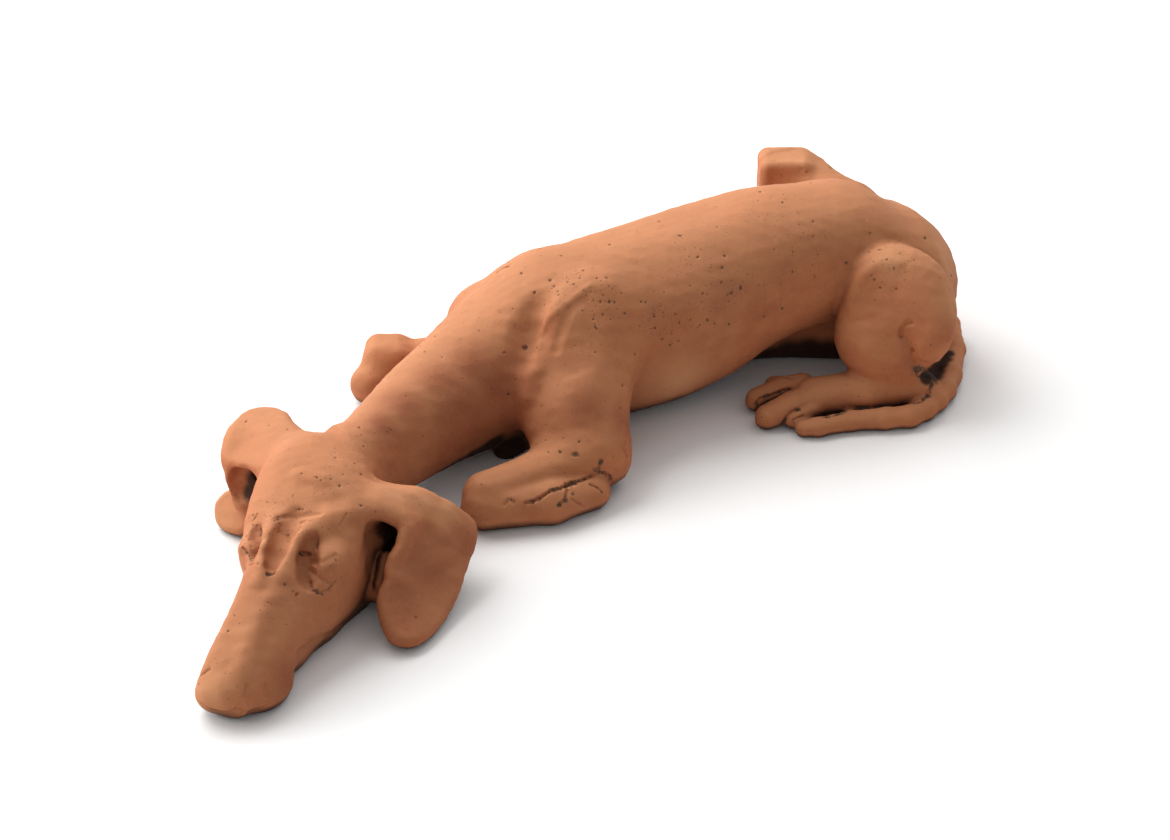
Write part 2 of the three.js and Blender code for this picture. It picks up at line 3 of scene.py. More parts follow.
import bmesh
import bpy
import numpy as np
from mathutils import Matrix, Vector


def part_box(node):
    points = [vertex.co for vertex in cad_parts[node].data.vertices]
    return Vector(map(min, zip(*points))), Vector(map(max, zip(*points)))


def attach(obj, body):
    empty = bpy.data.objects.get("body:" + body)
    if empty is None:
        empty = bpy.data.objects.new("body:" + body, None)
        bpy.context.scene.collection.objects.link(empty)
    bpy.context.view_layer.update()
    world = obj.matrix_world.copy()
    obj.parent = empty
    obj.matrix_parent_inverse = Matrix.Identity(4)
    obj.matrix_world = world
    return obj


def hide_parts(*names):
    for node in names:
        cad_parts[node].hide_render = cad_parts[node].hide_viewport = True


bl_info = {
    "name": "Terracotta hound",
    "version": (1, 0, 0),
    "blender": (4, 5, 0),
    "location": "View3D > Sidebar > Hound",
    "description": "A lying hound modelled in clay and fired, with its pits, dirt and studio",
    "category": "Object",
}

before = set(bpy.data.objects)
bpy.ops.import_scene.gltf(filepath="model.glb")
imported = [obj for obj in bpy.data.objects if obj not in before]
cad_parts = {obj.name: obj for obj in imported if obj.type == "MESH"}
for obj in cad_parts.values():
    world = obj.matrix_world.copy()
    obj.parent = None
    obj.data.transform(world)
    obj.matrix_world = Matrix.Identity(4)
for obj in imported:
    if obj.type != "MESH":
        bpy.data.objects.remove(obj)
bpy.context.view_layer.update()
NODE_LOW, NODE_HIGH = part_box("dog")

# The form is written in millimetres in the modeller's own frame. DRAWN_LENGTH is its length from nose to
# rump there, and MIDDLE the middle of its outline on the floor, so the frame's box gives its place and size.
DRAWN_LENGTH = 509.6
MIDDLE = (-1.3, -1.2)
METRES = (NODE_HIGH.x - NODE_LOW.x) / DRAWN_LENGTH

# Trunk and neck: x, centre y, centre z, half width, half height
TRUNK = [
    [-128, -8, 36, 21, 25],
    [-110, 3, 35, 23, 26],
    [-88, 16, 34, 27, 28],
    [-60, 28, 35, 31, 32],
    [-28, 38, 38, 36, 38],
    [10, 44, 42.5, 42, 47],
    [50, 40, 44, 46, 49],
    [80, 37, 46.5, 47, 49],
    [108, 34, 52, 45, 47.5],
    [140, 29, 61.5, 41, 42],
    [170, 23, 63.5, 39, 39],
    [198, 16, 58.5, 40, 41],
    [220, 8, 46, 38, 37],
]
# Underside of the belly that stands on the floor, same columns
KEEL = [
    [90, 36, 22, 26, 22],
    [127, 44, 18, 22, 20],
    [150, 37, 18, 22, 20],
    [174, 24, 18, 24, 20],
    [196, 10, 18, 24, 20],
]
# Skull and muzzle in the head's own frame: forward, to its left, up
SKULL = [
    [-172, -20, 34, 18, 20],
    [-160, -20, 33, 25, 27],
    [-148, -18, 34, 31, 30],
    [-130, -14, 35, 34, 32],
    [-112, -10, 32, 34, 31],
    [-95, -6, 29, 31, 29],
    [-80, -3, 26, 26, 26],
    [-65, 0, 23, 19, 22],
    [-48, 2, 19, 16, 18],
    [-28, 3, 15, 14, 14],
    [-16, 2, 13, 13, 11.5],
    [-10, 1, 11, 11, 8],
]
# Flat top of the muzzle
BRIDGE = [
    [-84, -8, 34, 15, 18],
    [-60, -6, 30, 11.5, 16.5],
    [-40, -5, 25, 10.5, 14.5],
    [-22, -4, 18, 11, 11],
    [-12, -4, 11.5, 10, 8.5],
]
NOSE = [-253, -119, 0]
HEAD_TURN = 36
HEAD_ROLL = 0.12
# Near ear in the head's frame: its upper leaf and the leaf folded down from it
EAR_TOP = [[-144, 2, 48], [-154, 30, 43], [-160, 43, 34], [-163, 52, 26], [-154, 54, 21],
           [-132, 47, 22], [-113, 40, 24], [-113, 36, 30], [-122, 38, 38], [-130, 33, 46], [-127, 8, 53]]
EAR_TOP_MID = [-143, 36, 38]
EAR_LOW = [[-156, 54, 21], [-140, 57, 14], [-129, 58.5, 9], [-110, 59, 5], [-95, 56, 5], [-91, 49, 7],
           [-96, 41, 14], [-104, 37, 21], [-114, 40, 25], [-134, 48, 22]]
EAR_LOW_MID = [-114, 51, 13]
# Far ear: roof, outer wall and the lobe on the floor
FAR_ROOF = [[-146, -26, 54], [-156, -38, 53], [-165, -50, 53], [-176, -60, 52], [-179, -71, 50],
            [-173, -79, 48], [-158, -78, 45], [-147, -72, 42], [-141, -61, 44], [-139, -42, 50]]
FAR_ROOF_MID = [-160, -58, 52]
FAR_SIDE = [[-160, -78, 45], [-148, -74, 41], [-143, -71, 33], [-141, -69, 25], [-142, -65, 17],
            [-148, -60, 9], [-160, -66, 8], [-168, -78, 18], [-168, -82, 34]]
FAR_SIDE_MID = [-155, -76, 28]
FAR_LOBE = [[-150, -76, 15], [-147, -81, 10], [-143, -79, 5], [-140, -72, 4], [-140, -64, 6],
            [-146, -64, 14]]
FAR_LOBE_MID = [-144, -73, 9]
# Outer face of the near shoulder
BLADE = [[42, 12, 60], [32, 19, 78], [22, 19, 77], [13, 13, 72], [5, 5, 60], [-2, 1, 49], [-10, -5, 37],
         [-17, -18, 26], [0, -34, 20], [8, -34, 19], [16, -24, 31], [33, -4, 47]]
BLADE_MID = [14, -8, 53]
# Outer face of the near thigh
THIGH = [[189, -23, 72], [183, -19, 67], [178, -20, 57], [173, -24, 43], [170, -31, 33], [181, -42, 29],
         [193, -50, 34], [200, -52, 45], [203, -47, 59], [201, -38, 69], [196, -29, 72]]
THIGH_MID = [189, -36, 52]

def skull(q):
    d = hull(tilt(q), SKULL, 2.4) * 0.9
    d = join(d, hull(q, BRIDGE, 3.6) * 0.9, 9)
    d = join(d, oval(q, [-31, 9, 7], [17, 13, 10]), 4)
    d = join(d, oval(q, [-28, -6, 7], [18, 10, 10]), 4)
    d = join(d, oval(q, [-16.5, -1, 12.3], [13.2, 12, 10.9]), 4)
    d = join(d, oval(q, [-12, -7, 11], [9, 8.2, 8]), 3)
    d = join(d, limb(q, [[-112, 0, 8], [-86, 1, 7], [-60, 1, 7], [-30, 2, 6]], [22, 16, 13, 11], 5), 5)
    return d

def brows(q, d):
    d = join(d, oval(q, [-86, -19.5, 40], [13, 13, 10]), 6)
    d = join(d, oval(q, [-89, 14, 43], [10, 8, 8]), 5)
    d = join(d, limb(q, [[-133, 30, 46], [-126, 20, 50.5], [-117, 12, 53], [-105, 7, 54.5],
                         [-94, 3, 55], [-85, 0, 53.5], [-76, 0, 50.5], [-66, 2, 46.5]], [3, 4, 4.5, 4.6, 4.2, 4, 4, 3.6], 3), 5)
    d = join(d, limb(q, [[-102, -18, 53], [-92, -16.5, 54.5], [-82, -13.5, 53.5],
                         [-73, -10.5, 52], [-65, -8, 49], [-57, -6, 45]], [3, 3.6, 3.6, 3.4, 3.2, 3], 3), 4)
    d = cut(d, limb(q, [[-97, -7.5, 61.5], [-84, -6.5, 58], [-73, -5, 54], [-66, -4, 50.5]],
                    [4.5, 5, 4.2, 3], 3), 3)
    d = cut(d, limb(q, [[-87, -25, 52], [-80, -20, 51.5], [-73, -15, 50]], [3, 4.2, 4], 2), 2)
    d = join(d, oval(q, [-78.5, -22.5, 45], [5, 6.5, 4.6]), 1.2)
    d = cut(d, limb(q, [[-86, 7, 54], [-79, 8, 48.5], [-72, 11, 43.5]], [3, 4.5, 4], 3), 4)
    return d

def ears(q, d):
    d = join(d, oval(q, [-146, 28, 22], [20, 22, 22]), 8)
    d = join(d, limb(q, [[-126, 6, 47], [-136, 20, 44.5], [-150, 30, 40]], [11, 10, 8], 5), 8)
    d = join(d, limb(q, [[-120, 22, 12], [-115, 37, 9]], [10, 6], 3), 4)
    d = join(d, oval(q, [-160, -52, 24], [18, 22, 24]), 8)
    d = join(d, limb(q, [[-152, -28, 48], [-162, -46, 46]], [10, 9], 5), 8)
    d = cut(d, limb(q, [[-108, 30, 38], [-122, 27, 40], [-148, 26, 35]], [6, 9, 7], 3), 3)
    d = cut(d, limb(q, [[-102, 31, 27], [-114, 29, 28], [-140, 30, 27]], [3, 6.5, 6], 3), 3)
    d = cut(d, limb(q, [[-128, -57, 39], [-152, -58, 37]], [8, 8], 3), 3)
    d = cut(d, limb(q, [[-130, -57, 26], [-150, -60, 26]], [7.5, 6], 3), 3)
    a = leaf(q, EAR_TOP_MID, EAR_TOP, 4.4)
    a = join(a, leaf(q, EAR_LOW_MID, EAR_LOW, 4.2), 4)
    a = join(a, limb(q, [[-138, 17, 49], [-149, 29, 43], [-157, 42, 34.5], [-157, 50, 26]],
                     [6.5, 6.3, 5.8, 4.8], 3), 6)
    d = join(d, a, 5)
    d = join(d, limb(q, [[-124, 27, 24], [-113, 30, 17.5]], [4.5, 4], 3), 2)
    a = leaf(q, FAR_ROOF_MID, FAR_ROOF, 4.2)
    a = join(a, leaf(q, FAR_SIDE_MID, FAR_SIDE, 4), 7)
    a = join(a, limb(q, [[-146, -68, 40], [-145, -66, 30], [-147, -63, 18]], [5, 4.5, 4], 3), 4)
    a = join(a, leaf(q, FAR_LOBE_MID, FAR_LOBE, 4), 4)
    d = join(d, a, 8)
    d = cut(d, limb(q, [[-133, -59, 40], [-132, -63, 29]], [7.5, 7], 3), 2.5)
    d = cut(d, limb(q, [[-141, -63, 37], [-140, -67, 27]], [7, 6.5], 3), 2.5)
    return d

def shoulders(p, d):
    d = join(d, limb(p, [[-8, 6, 40], [0, -12, 34], [2, -32, 20]], [19, 18, 15], 8), 12)
    d = join(d, leaf(p, BLADE_MID, BLADE, 9), 14)
    d = join(d, limb(p, [[36, 18, 84], [17, 20.5, 82], [4, 16.5, 80.5], [-8, 9.5, 69],
                         [-16, 2, 58], [-22, -4, 47]], [3, 3, 3.2, 3.4, 3.2, 2.6], 5), 6)
    d = cut(d, limb(p, [[-3, 20, 85], [-12, 10, 76], [-20, 5, 66]], [5, 7.5, 5], 6), 8)
    d = join(d, limb(p, [[20, 58, 64], [0, 70, 46]], [17, 18], 8), 16)
    d = join(d, limb(p, [[-7, 77, 44], [0, 86, 28], [0, 90, 16]], [18, 19, 15], 8), 12)
    return d

def forelegs(p, d):
    d = join(d, limb(p, [[1, -32, 19], [-30, -32, 16], [-62, -31, 15]], [16, 13, 12], 4), 8)
    d = join(d, limb(p, [[-65, -35, 10], [-32, -46, 9.5], [-9, -47, 8.5]], [12, 12, 10.5], 4), 2)
    d = join(d, oval(p, [11, -35, 12], [8, 9, 9]), 4)
    # Low clay web in the notch between the neck and the forearm, put there to carry painted shade where the gap lies
    # in deep shade
    d = join(d, limb(p, [[-6, 24, 3], [-25, 16, 1]], [9, 6.5], 2), 4)
    d = join(d, limb(p, [[0, 90, 14], [-30, 98, 13], [-50, 106, 12]], [14, 13, 12], 4), 10)
    d = join(d, block(p, [-50, 106, 14.5], [13, 13, 14.5], 8, -29.5), 5)
    d = join(d, limb(p, [[-52, 103, 14], [-65, 98, 10]], [13, 11], 4), 4)
    return d

def nearhind(p, d):
    d = join(d, leaf(p, THIGH_MID, THIGH, 13), 4)
    d = cut(d, limb(p, [[181, -54, 49], [183, -61, 32]], [3.5, 4], 3), 3)
    d = cut(d, limb(p, [[183, -61, 32], [196, -64, 23]], [4, 7], 3), 3)
    d = join(d, limb(p, [[175, -36, 30], [183, -42, 14], [195, -53, 10]], [14, 13, 10], 4), 6)
    d = join(d, limb(p, [[189, -49, 8], [165, -41, 8], [140, -31, 8]], [12, 13, 12], 4), 5)
    d = join(d, limb(p, [[143, -17, 7], [129, -8, 7]], [6, 5], 1), 1)
    d = join(d, limb(p, [[140, -20, 9], [129, -17, 9], [114, -15, 6.5]], [8, 7.5, 6.5], 1), 1)
    d = join(d, limb(p, [[137, -32, 9], [126, -32, 9], [110, -31, 6]], [8, 8, 7], 1), 1)
    d = join(d, limb(p, [[138, -38, 7], [122, -39, 5.5]], [6, 5.5], 1), 1)
    return d

def farhind(p, d):
    d = join(d, block(p, [201, 98, 66.5], [15, 12, 14], 5.5, -29.5), 4)
    d = join(d, limb(p, [[214, 92, 66], [218, 56, 57]], [12.5, 12], 4), 6)
    d = join(d, limb(p, [[206, 90, 56], [224, 66, 50], [224, 50, 34]], [14, 20, 20], 4), 8)
    d = join(d, limb(p, [[204, 98, 56], [202, 98, 40], [206, 92, 18]], [13, 14, 14], 4), 8)
    d = join(d, limb(p, [[208, 92, 12], [170, 88, 10], [140, 84, 9]], [13, 14, 13], 4), 8)
    return d

def tail(p, d):
    d = join(d, limb(p, [[236, 16, 18], [246, -6, 8.5], [236, -26, 6.5], [220, -46, 6], [209, -56, 5.6],
                         [199, -62, 5.4], [189, -66, 5.3], [178, -68, 5.2], [165, -63, 5],
                         [148, -55, 4.8], [130, -51, 4.4], [123, -48, 4]],
                     [9, 7.2, 6.8, 6.6, 6.4, 6.3, 6.2, 6, 5.8, 5.6, 5.2, 4.8], 2.5), 2.5)
    # Low clay web behind the heel, put there to carry painted shade where the gap lies in deep shade
    d = join(d, limb(p, [[226, -22, 3], [202, -50, 3]], [9, 7], 2), 4)
    return d

def head(p, d):
    q = tohead(p)
    d = join(d, ears(q, brows(q, skull(q))), 10)
    return d

def hound(p):
    d = hull(p, TRUNK, 2.2)
    d = join(d, oval(p, [219, 4, 43.5], [28.3, 36, 38]), 16)
    d = join(d, hull(p, KEEL, 2.4), 6)
    d = span(p, d, -130, 90, shoulders)
    d = span(p, d, -120, 60, forelegs)
    d = span(p, d, 70, 300, nearhind)
    d = span(p, d, 90, 300, farhind)
    d = span(p, d, 80, 300, tail)
    d = span(p, d, -400, -20, head)
    return d

# Grid that the form is read on: its corners, and the points to a side of a block and a sub-block
GRID_LOW = np.array([-266.0, -136.0, -4.0])
GRID_HIGH = np.array([262.0, 130.0, 106.0])
COARSE = 9
FINE = 3
REACH = 1.15
SHARE = 60000

# Distances to simple forms, negative inside. Every p is an array of points, one to a row.


def join(a, b, k):
    """Union of two distances, blended over k millimetres."""
    h = np.maximum(k - np.abs(a - b), 0.0) / k
    return np.minimum(a, b) - h * h * k * 0.25


def cut(a, b, k):
    """Takes b from a, with the edge blended over k millimetres."""
    return -join(-a, b, k)


def limb(p, points, radii, k):
    """Chain of round cones through the points."""
    d = None
    for i in range(len(points) - 1):
        a = np.asarray(points[i], p.dtype)
        b = np.asarray(points[i + 1], p.dtype)
        v = b - a
        q = p - a
        t = np.clip(q @ v / (v @ v), 0.0, 1.0)
        r = radii[i] + (radii[i + 1] - radii[i]) * t
        c = np.linalg.norm(q - t[:, None] * v, axis=1) - r
        d = c if d is None else join(d, c, k)
    return d


def oval(p, centre, radii):
    """Ellipsoid."""
    q = p - np.asarray(centre, p.dtype)
    r = np.asarray(radii, p.dtype)
    a = np.linalg.norm(q / r, axis=1)
    b = np.linalg.norm(q / (r * r), axis=1) + 1e-9
    return a * (a - 1.0) / b


def block(p, centre, half, rounding, turn):
    """Rounded box turned about the vertical."""
    q = p - np.asarray(centre, p.dtype)
    c, s = math.cos(math.radians(turn)), math.sin(math.radians(turn))
    q = np.stack([c * q[:, 0] + s * q[:, 1], c * q[:, 1] - s * q[:, 0], q[:, 2]], 1)
    d = np.abs(q) - (np.asarray(half, p.dtype) - rounding)
    return np.linalg.norm(np.maximum(d, 0.0), axis=1) + np.minimum(d.max(1), 0.0) - rounding


def hull(p, stations, n):
    """Smooth tube along the first axis through oval stations."""
    s = np.asarray(stations, float)
    xs = s[:, 0]
    x = np.clip(p[:, 0], xs[0], xs[-1])
    i = np.clip(np.searchsorted(xs, x) - 1, 0, len(xs) - 2)
    h = xs[i + 1] - xs[i]
    t = (x - xs[i]) / h
    u = []
    for j in range(1, 5):
        y = s[:, j]
        m = np.gradient(y, xs)
        rise = (2 * t**3 - 3 * t**2 + 1) * y[i] + (3 * t**2 - 2 * t**3) * y[i + 1]
        bend = (t**3 - 2 * t**2 + t) * m[i] + (t**3 - t**2) * m[i + 1]
        u.append(rise + bend * h)
    a = np.abs(p[:, 1] - u[0]) / u[2]
    b = np.abs(p[:, 2] - u[1]) / u[3]
    f = ((a**n + b**n) ** (1.0 / n) - 1.0) * np.minimum(u[2], u[3])
    beyond = np.abs(p[:, 0] - x)
    return np.where(beyond > 0, np.hypot(np.maximum(f, 0), beyond), f)


def triangle(p, a, b, c):
    """Squared distance to a triangle."""
    corners = [np.asarray(v, p.dtype) for v in (a, b, c)]
    n = np.cross(corners[1] - corners[0], corners[2] - corners[0])
    inside = np.ones(len(p), bool)
    edge = np.full(len(p), np.inf, p.dtype)
    for i in range(3):
        v = corners[(i + 1) % 3] - corners[i]
        q = p - corners[i]
        inside &= q @ np.cross(n, v) >= 0
        t = np.clip(q @ v / (v @ v), 0.0, 1.0)
        edge = np.minimum(edge, ((q - t[:, None] * v) ** 2).sum(1))
    return np.where(inside, ((p - corners[0]) @ n) ** 2 / (n @ n), edge)


def rounded(rim):
    """Smooth closed line through the rim's points, with two more points on each side."""
    r = np.asarray(rim, float)
    n = len(r)
    line = []
    for i in range(n):
        a, b, c, e = r[i - 1], r[i], r[(i + 1) % n], r[(i + 2) % n]
        for t in (0, 1 / 3, 2 / 3):
            curve = (2 * a - 5 * b + 4 * c - e) * (t * t / 2) + (3 * b - a - 3 * c + e) * (t**3 / 2)
            line.append(b + (c - a) * (t / 2) + curve)
    return line


def leaf(p, middle, rim, half):
    """Rounded plate: a fan from a middle point to a smooth rim, half as thick on each face."""
    line = rounded(rim)
    far = np.linalg.norm(p - np.asarray(middle, p.dtype), axis=1)
    reach = max(np.linalg.norm(point - middle) for point in line)
    d = far - reach - half
    near = d < 12
    q = p[near]
    best = np.full(len(q), np.inf, p.dtype)
    for i in range(len(line)):
        best = np.minimum(best, triangle(q, middle, line[i], line[(i + 1) % len(line)]))
    d[near] = np.sqrt(best) - half
    return d


def tohead(p):
    """The head's own frame: from the nose forward, to the dog's left, up."""
    t = math.radians(HEAD_TURN)
    q = p - np.asarray(NOSE, p.dtype)
    c, s = p.dtype.type(math.cos(t)), p.dtype.type(math.sin(t))
    return np.stack([-c * q[:, 0] - s * q[:, 1], s * q[:, 0] - c * q[:, 1], q[:, 2]], 1)


def tilt(q):
    """The skull leans down to the dog's left."""
    r = q.copy()
    r[:, 2] += HEAD_ROLL * (q[:, 1] + 8) * np.clip((-q[:, 0] - 50) / 50, 0, 1)
    return r


def span(p, d, start, end, add):
    """Adds a form to the points of one stretch of the dog's length only."""
    here = (p[:, 0] > start) & (p[:, 0] < end)
    d[here] = add(p[here], d[here])
    return d


def solid(p):
    """The whole dog, flat where it lies on the floor."""
    return np.maximum(hound(p), -p[:, 2])

# The surface of the form as a mesh


def read_field(low, high, step):
    """The form on a grid, read closely only in the blocks and sub-blocks that its surface passes through."""
    shape = np.ceil((high - low) / (step * COARSE)).astype(int) * COARSE + 1
    field = np.empty(shape, np.float32)
    blocks = grid_points((shape - 1) // COARSE) * COARSE
    for size in (COARSE, FINE):
        inner = grid_points([size] * 3)
        d = read(low + (blocks + (size - 1) / 2) * step)
        at = (blocks[:, None] + inner).reshape(-1, 3)
        field[at[:, 0], at[:, 1], at[:, 2]] = np.repeat(d, len(inner))
        near = blocks[np.abs(d) < size * step * REACH + 1]
        blocks = (near[:, None] + grid_points([size // FINE] * 3) * FINE).reshape(-1, 3)
    at = (near[:, None] + inner).reshape(-1, 3)
    field[at[:, 0], at[:, 1], at[:, 2]] = read(low + at * step)
    for axis in range(3):
        edge = [slice(None)] * 3
        edge[axis] = -1
        field[tuple(edge)] = step
    return field


def grid_points(shape):
    """Every whole-number point of a grid, one to a row."""
    return np.stack(np.meshgrid(*[np.arange(n) for n in shape], indexing="ij"), -1).reshape(-1, 3)


def read(points):
    """The form at many points, a share at a time to spare memory."""
    shares = [points[i : i + SHARE].astype(np.float32) for i in range(0, len(points), SHARE)]
    return np.concatenate([solid(share) for share in shares])


def wrap(field, low, step):
    """Closed surface of a field: a vertex in each cell that it crosses, and a face round each crossing."""
    inside = field < 0
    cells = np.array([n - 1 for n in field.shape])
    corners = grid_points([2, 2, 2])
    count = np.zeros(cells, np.int8)
    for c in corners:
        count += inside[tuple(slice(o, o + n) for o, n in zip(c, cells))]
    crossed = (count > 0) & (count < 8)
    cell = np.argwhere(crossed)
    number = np.full(cells, -1)
    number[crossed] = np.arange(len(cell))
    values = [field[tuple((cell + c).T)] for c in corners]
    total = np.zeros((len(cell), 3))
    crossings = np.zeros(len(cell))
    for i in range(8):
        for axis in range(3):
            j = i | (4 >> axis)
            if j == i:
                continue
            here = (values[i] < 0) != (values[j] < 0)
            t = values[i] / np.where(here, values[i] - values[j], 1)
            point = corners[i] + np.eye(3)[axis] * t[:, None]
            total += np.where(here[:, None], point, 0)
            crossings += here
    points = (cell + total / crossings[:, None]) * step + low
    faces = []
    for axis in range(3):
        u, v = np.eye(3, dtype=int)[(axis + 1) % 3], np.eye(3, dtype=int)[(axis + 2) % 3]
        ahead = np.roll(inside, -1, axis)
        edge = np.argwhere(inside != ahead)
        ring = [number[tuple((edge - o).T)] for o in (u + v, v, 0 * u, u)]
        ring = np.stack(ring, 1)
        out = inside[tuple(edge.T)]
        faces.append(np.where(out[:, None], ring, ring[:, ::-1]))
    return points, np.concatenate(faces)

# Fired clay


class Sock:
    """A shader socket or a number, so that node maths is written as an expression."""

    def __init__(self, maker, socket):
        self.maker = maker
        self.socket = socket

    def math(self, operation, *others, clamp=False):
        """A Math node on this value and the others."""
        return self.maker.node("ShaderNodeMath", {"operation": operation, "use_clamp": clamp}, self, *others)

    def __add__(self, other):
        return self.math("ADD", other)

    def __sub__(self, other):
        return self.math("SUBTRACT", other)

    def __mul__(self, other):
        return self.math("MULTIPLY", other)

    def __truediv__(self, other):
        return self.math("DIVIDE", other)

    def __pow__(self, other):
        return self.math("POWER", other)

    def __rsub__(self, other):
        return self.maker.node("ShaderNodeMath", {"operation": "SUBTRACT"}, other, self)

    def __neg__(self):
        return self.math("MULTIPLY", -1.0)

    __radd__ = __add__
    __rmul__ = __mul__

    def least(self, other):
        """The smaller of the two values."""
        return self.math("MINIMUM", other)

    def most(self, other):
        """The larger of the two values."""
        return self.math("MAXIMUM", other)

    def between(self, low, high):
        """0 at or below low, 1 at or above high, smooth in between."""
        settings = {"interpolation_type": "SMOOTHSTEP"}
        return self.maker.node("ShaderNodeMapRange", settings, self, low, high, 0.0, 1.0)


class Maker:
    """Adds nodes to one material."""

    def __init__(self, name):
        self.material = bpy.data.materials.new(name)
        self.material.use_nodes = True
        self.tree = self.material.node_tree
        self.tree.nodes.clear()

    def node(self, kind, settings, *inputs, out=0, **named):
        """A node of that kind. settings are set first, then its inputs in order or by name."""
        node = self.tree.nodes.new(kind)
        for key, value in settings.items():
            setattr(node, key, value)
        for place, value in [*enumerate(inputs), *named.items()]:
            key = place.replace("_", " ") if isinstance(place, str) else place
            if isinstance(value, Sock):
                self.tree.links.new(value.socket, node.inputs[key])
            elif value is not None:
                node.inputs[key].default_value = value
        return Sock(self, node.outputs[out]) if node.outputs else None

    def noise(self, at, scale, detail=3.0, roughness=0.5, distortion=0.0):
        """Noise value, about 0.5 on average, with scale features to a metre."""
        settings = {"noise_dimensions": "3D"}
        return self.node("ShaderNodeTexNoise", settings, Vector=at, Scale=scale, Detail=detail,
                         Roughness=roughness, Distortion=distortion)

    def spots(self, at, scale, size, share):
        """Round spots: 1 in the middle of a share of the cells, 0 from size outwards."""
        cells = {"feature": "F1", "voronoi_dimensions": "3D"}
        near = self.node("ShaderNodeTexVoronoi", cells, Vector=at, Scale=scale, Randomness=1.0)
        pick = self.node("ShaderNodeTexVoronoi", cells, Vector=at, Scale=scale, Randomness=1.0, out=1)
        chance = self.node("ShaderNodeSeparateColor", {}, pick)
        return (1 - near.between(0.35 * size, size)) * (1 - chance.between(share, share + 0.01))

    def blend(self, share, first, second):
        """A colour between the two."""
        mix = self.tree.nodes.new("ShaderNodeMix")
        mix.data_type = "RGBA"
        for key, value in ((0, share), (6, first), (7, second)):
            if isinstance(value, Sock):
                self.tree.links.new(value.socket, mix.inputs[key])
            else:
                mix.inputs[key].default_value = value
        return Sock(self, mix.outputs[2])
def terracotta(look):
    """Unglazed fired clay: uneven orange, paler where it faces up from dust and a painted sheen, painted shade in
    creases and hollows, painted highlights and painted shade at listed places, dark dirt in the pits and creases.
    """
    m = Maker("terracotta")
    at = m.node("ShaderNodeTexCoord", {}, out=3)
    up = m.node("ShaderNodeSeparateXYZ", {}, m.node("ShaderNodeNewGeometry", {}, out=1), out=2)
    crease = m.node("ShaderNodeAttribute", {"attribute_name": "crease"}, out=2)
    marked = m.node("ShaderNodeAttribute", {"attribute_name": "dirt"}, out=2)
    pit = m.node("ShaderNodeAttribute", {"attribute_name": "pit"}, out=2)
    gloom = m.node("ShaderNodeAttribute", {"attribute_name": "gloom"}, out=2)
    crowd = m.node("ShaderNodeAttribute", {"attribute_name": "crowd"}, out=2)
    # Painted shade: how near each point is to the listed places that lie in shade
    fired = m.node("ShaderNodeAttribute", {"attribute_name": "fired"}, out=2)
    # Painted highlights: how near each point is to the listed places that catch the light
    painted_highlight = m.node("ShaderNodeAttribute", {"attribute_name": "painted_highlight"}, out=2)

    patches = m.noise(at, 14.0, 2.0).between(0.36, 0.66)
    cloud = m.noise(at, 36.0, 3.0, 0.6)
    mottle = m.noise(at, 75.0, 4.0, 0.6)
    grain = m.noise(at, 1100.0, 2.0, 0.7)
    fine = m.noise(at, 420.0, 3.0, 0.6)
    broken = m.noise(at, 520.0, 3.0, 0.6)
    cluster = m.noise(at, 26.0, 2.0).between(0.45, 0.62)
    blots = m.noise(at, 280.0, 4.0, 0.65)
    specks = m.spots(at, 380.0, 0.17, 0.03 + cluster * 0.06 + crowd * 0.36)
    flecks = m.spots(at, 700.0, 0.23, 0.03 + cluster * 0.08 + crowd * 0.42)
    scuffs = m.noise(at, 160.0, 5.0, 0.7).between(0.62, 0.72) * cluster

    colour = m.blend(patches, look.clay, look.warm)
    colour = m.blend(mottle.between(0.35, 0.7) * 0.3, colour, look.deep)
    colour = m.blend(cloud.between(0.45, 0.75) * 0.3, colour, look.deep)
    # Paler where it faces up: dust, and a painted sheen where the light falls on the top
    colour = m.blend(up.between(0.1, 1.0) * look.dust_and_sheen * (0.6 + mottle * 0.8), colour, look.pale)
    # Painted shade: darker clay on the near ear's lower leaf, the neck's side, the jaw and the upper arm, where they
    # lie in shade
    colour = m.blend(fired * look.painted_shade_strength * (0.7 + cloud * 0.6), colour, look.deep)
    # Painted highlights: paler clay where rims and faces catch the light
    colour = m.blend(painted_highlight * look.painted_highlight * (0.6 + mottle * 0.8), colour, look.pale)
    colour = m.blend((grain - 0.5).between(0.0, 0.35) * 0.3, colour, look.pale)
    # Painted shade: darker clay in creases and hollows, by how shut in the surface is
    colour = m.blend(crease.between(0.05, 0.7) * 0.5, colour, look.deep)
    grime = crease.between(0.45, 1.0) * broken.between(0.38, 0.56) * 0.7
    line = (marked * 0.8 + (blots - 0.5) * 3.2).between(0.45, 1.05) * marked.between(0.0, 0.35)
    dots = (pit + (broken - 0.5) * 1.0).between(0.3, 1.0) * pit.between(0.0, 0.4)
    dirt = grime.most(line).most(dots * 0.8).most(specks * 0.75).most(flecks * 0.65).most(scuffs * 0.3)
    colour = m.blend(dirt * look.dirt, colour, look.soot)
    # Painted shade: the most sheltered hollows darkened almost to black
    colour = m.blend(gloom.between(0.5, 0.9) * look.gloom, colour, look.night)

    height = grain * 0.10 + fine * 0.28 + mottle * 0.5 - specks * 0.7 - flecks * 0.4 - dirt * 0.4
    bump = m.node("ShaderNodeBump", {}, Strength=look.bump, Distance=0.0006, Height=height)
    rough = look.roughness + (mottle - 0.5) * 0.12 + dirt * 0.06
    shader = m.node("ShaderNodeBsdfPrincipled", {}, Base_Color=colour, Roughness=rough, Normal=bump,
                    Specular_IOR_Level=0.28)
    m.node("ShaderNodeOutputMaterial", {}, Surface=shader)
    return m.material


def floor_paper(look):
    """Pale matt sheet under the dog."""
    m = Maker("floor_paper")
    shader = m.node("ShaderNodeBsdfPrincipled", {}, Base_Color=look.floor, Roughness=0.9,
                    Specular_IOR_Level=0.1)
    m.node("ShaderNodeOutputMaterial", {}, Surface=shader)
    return m.material


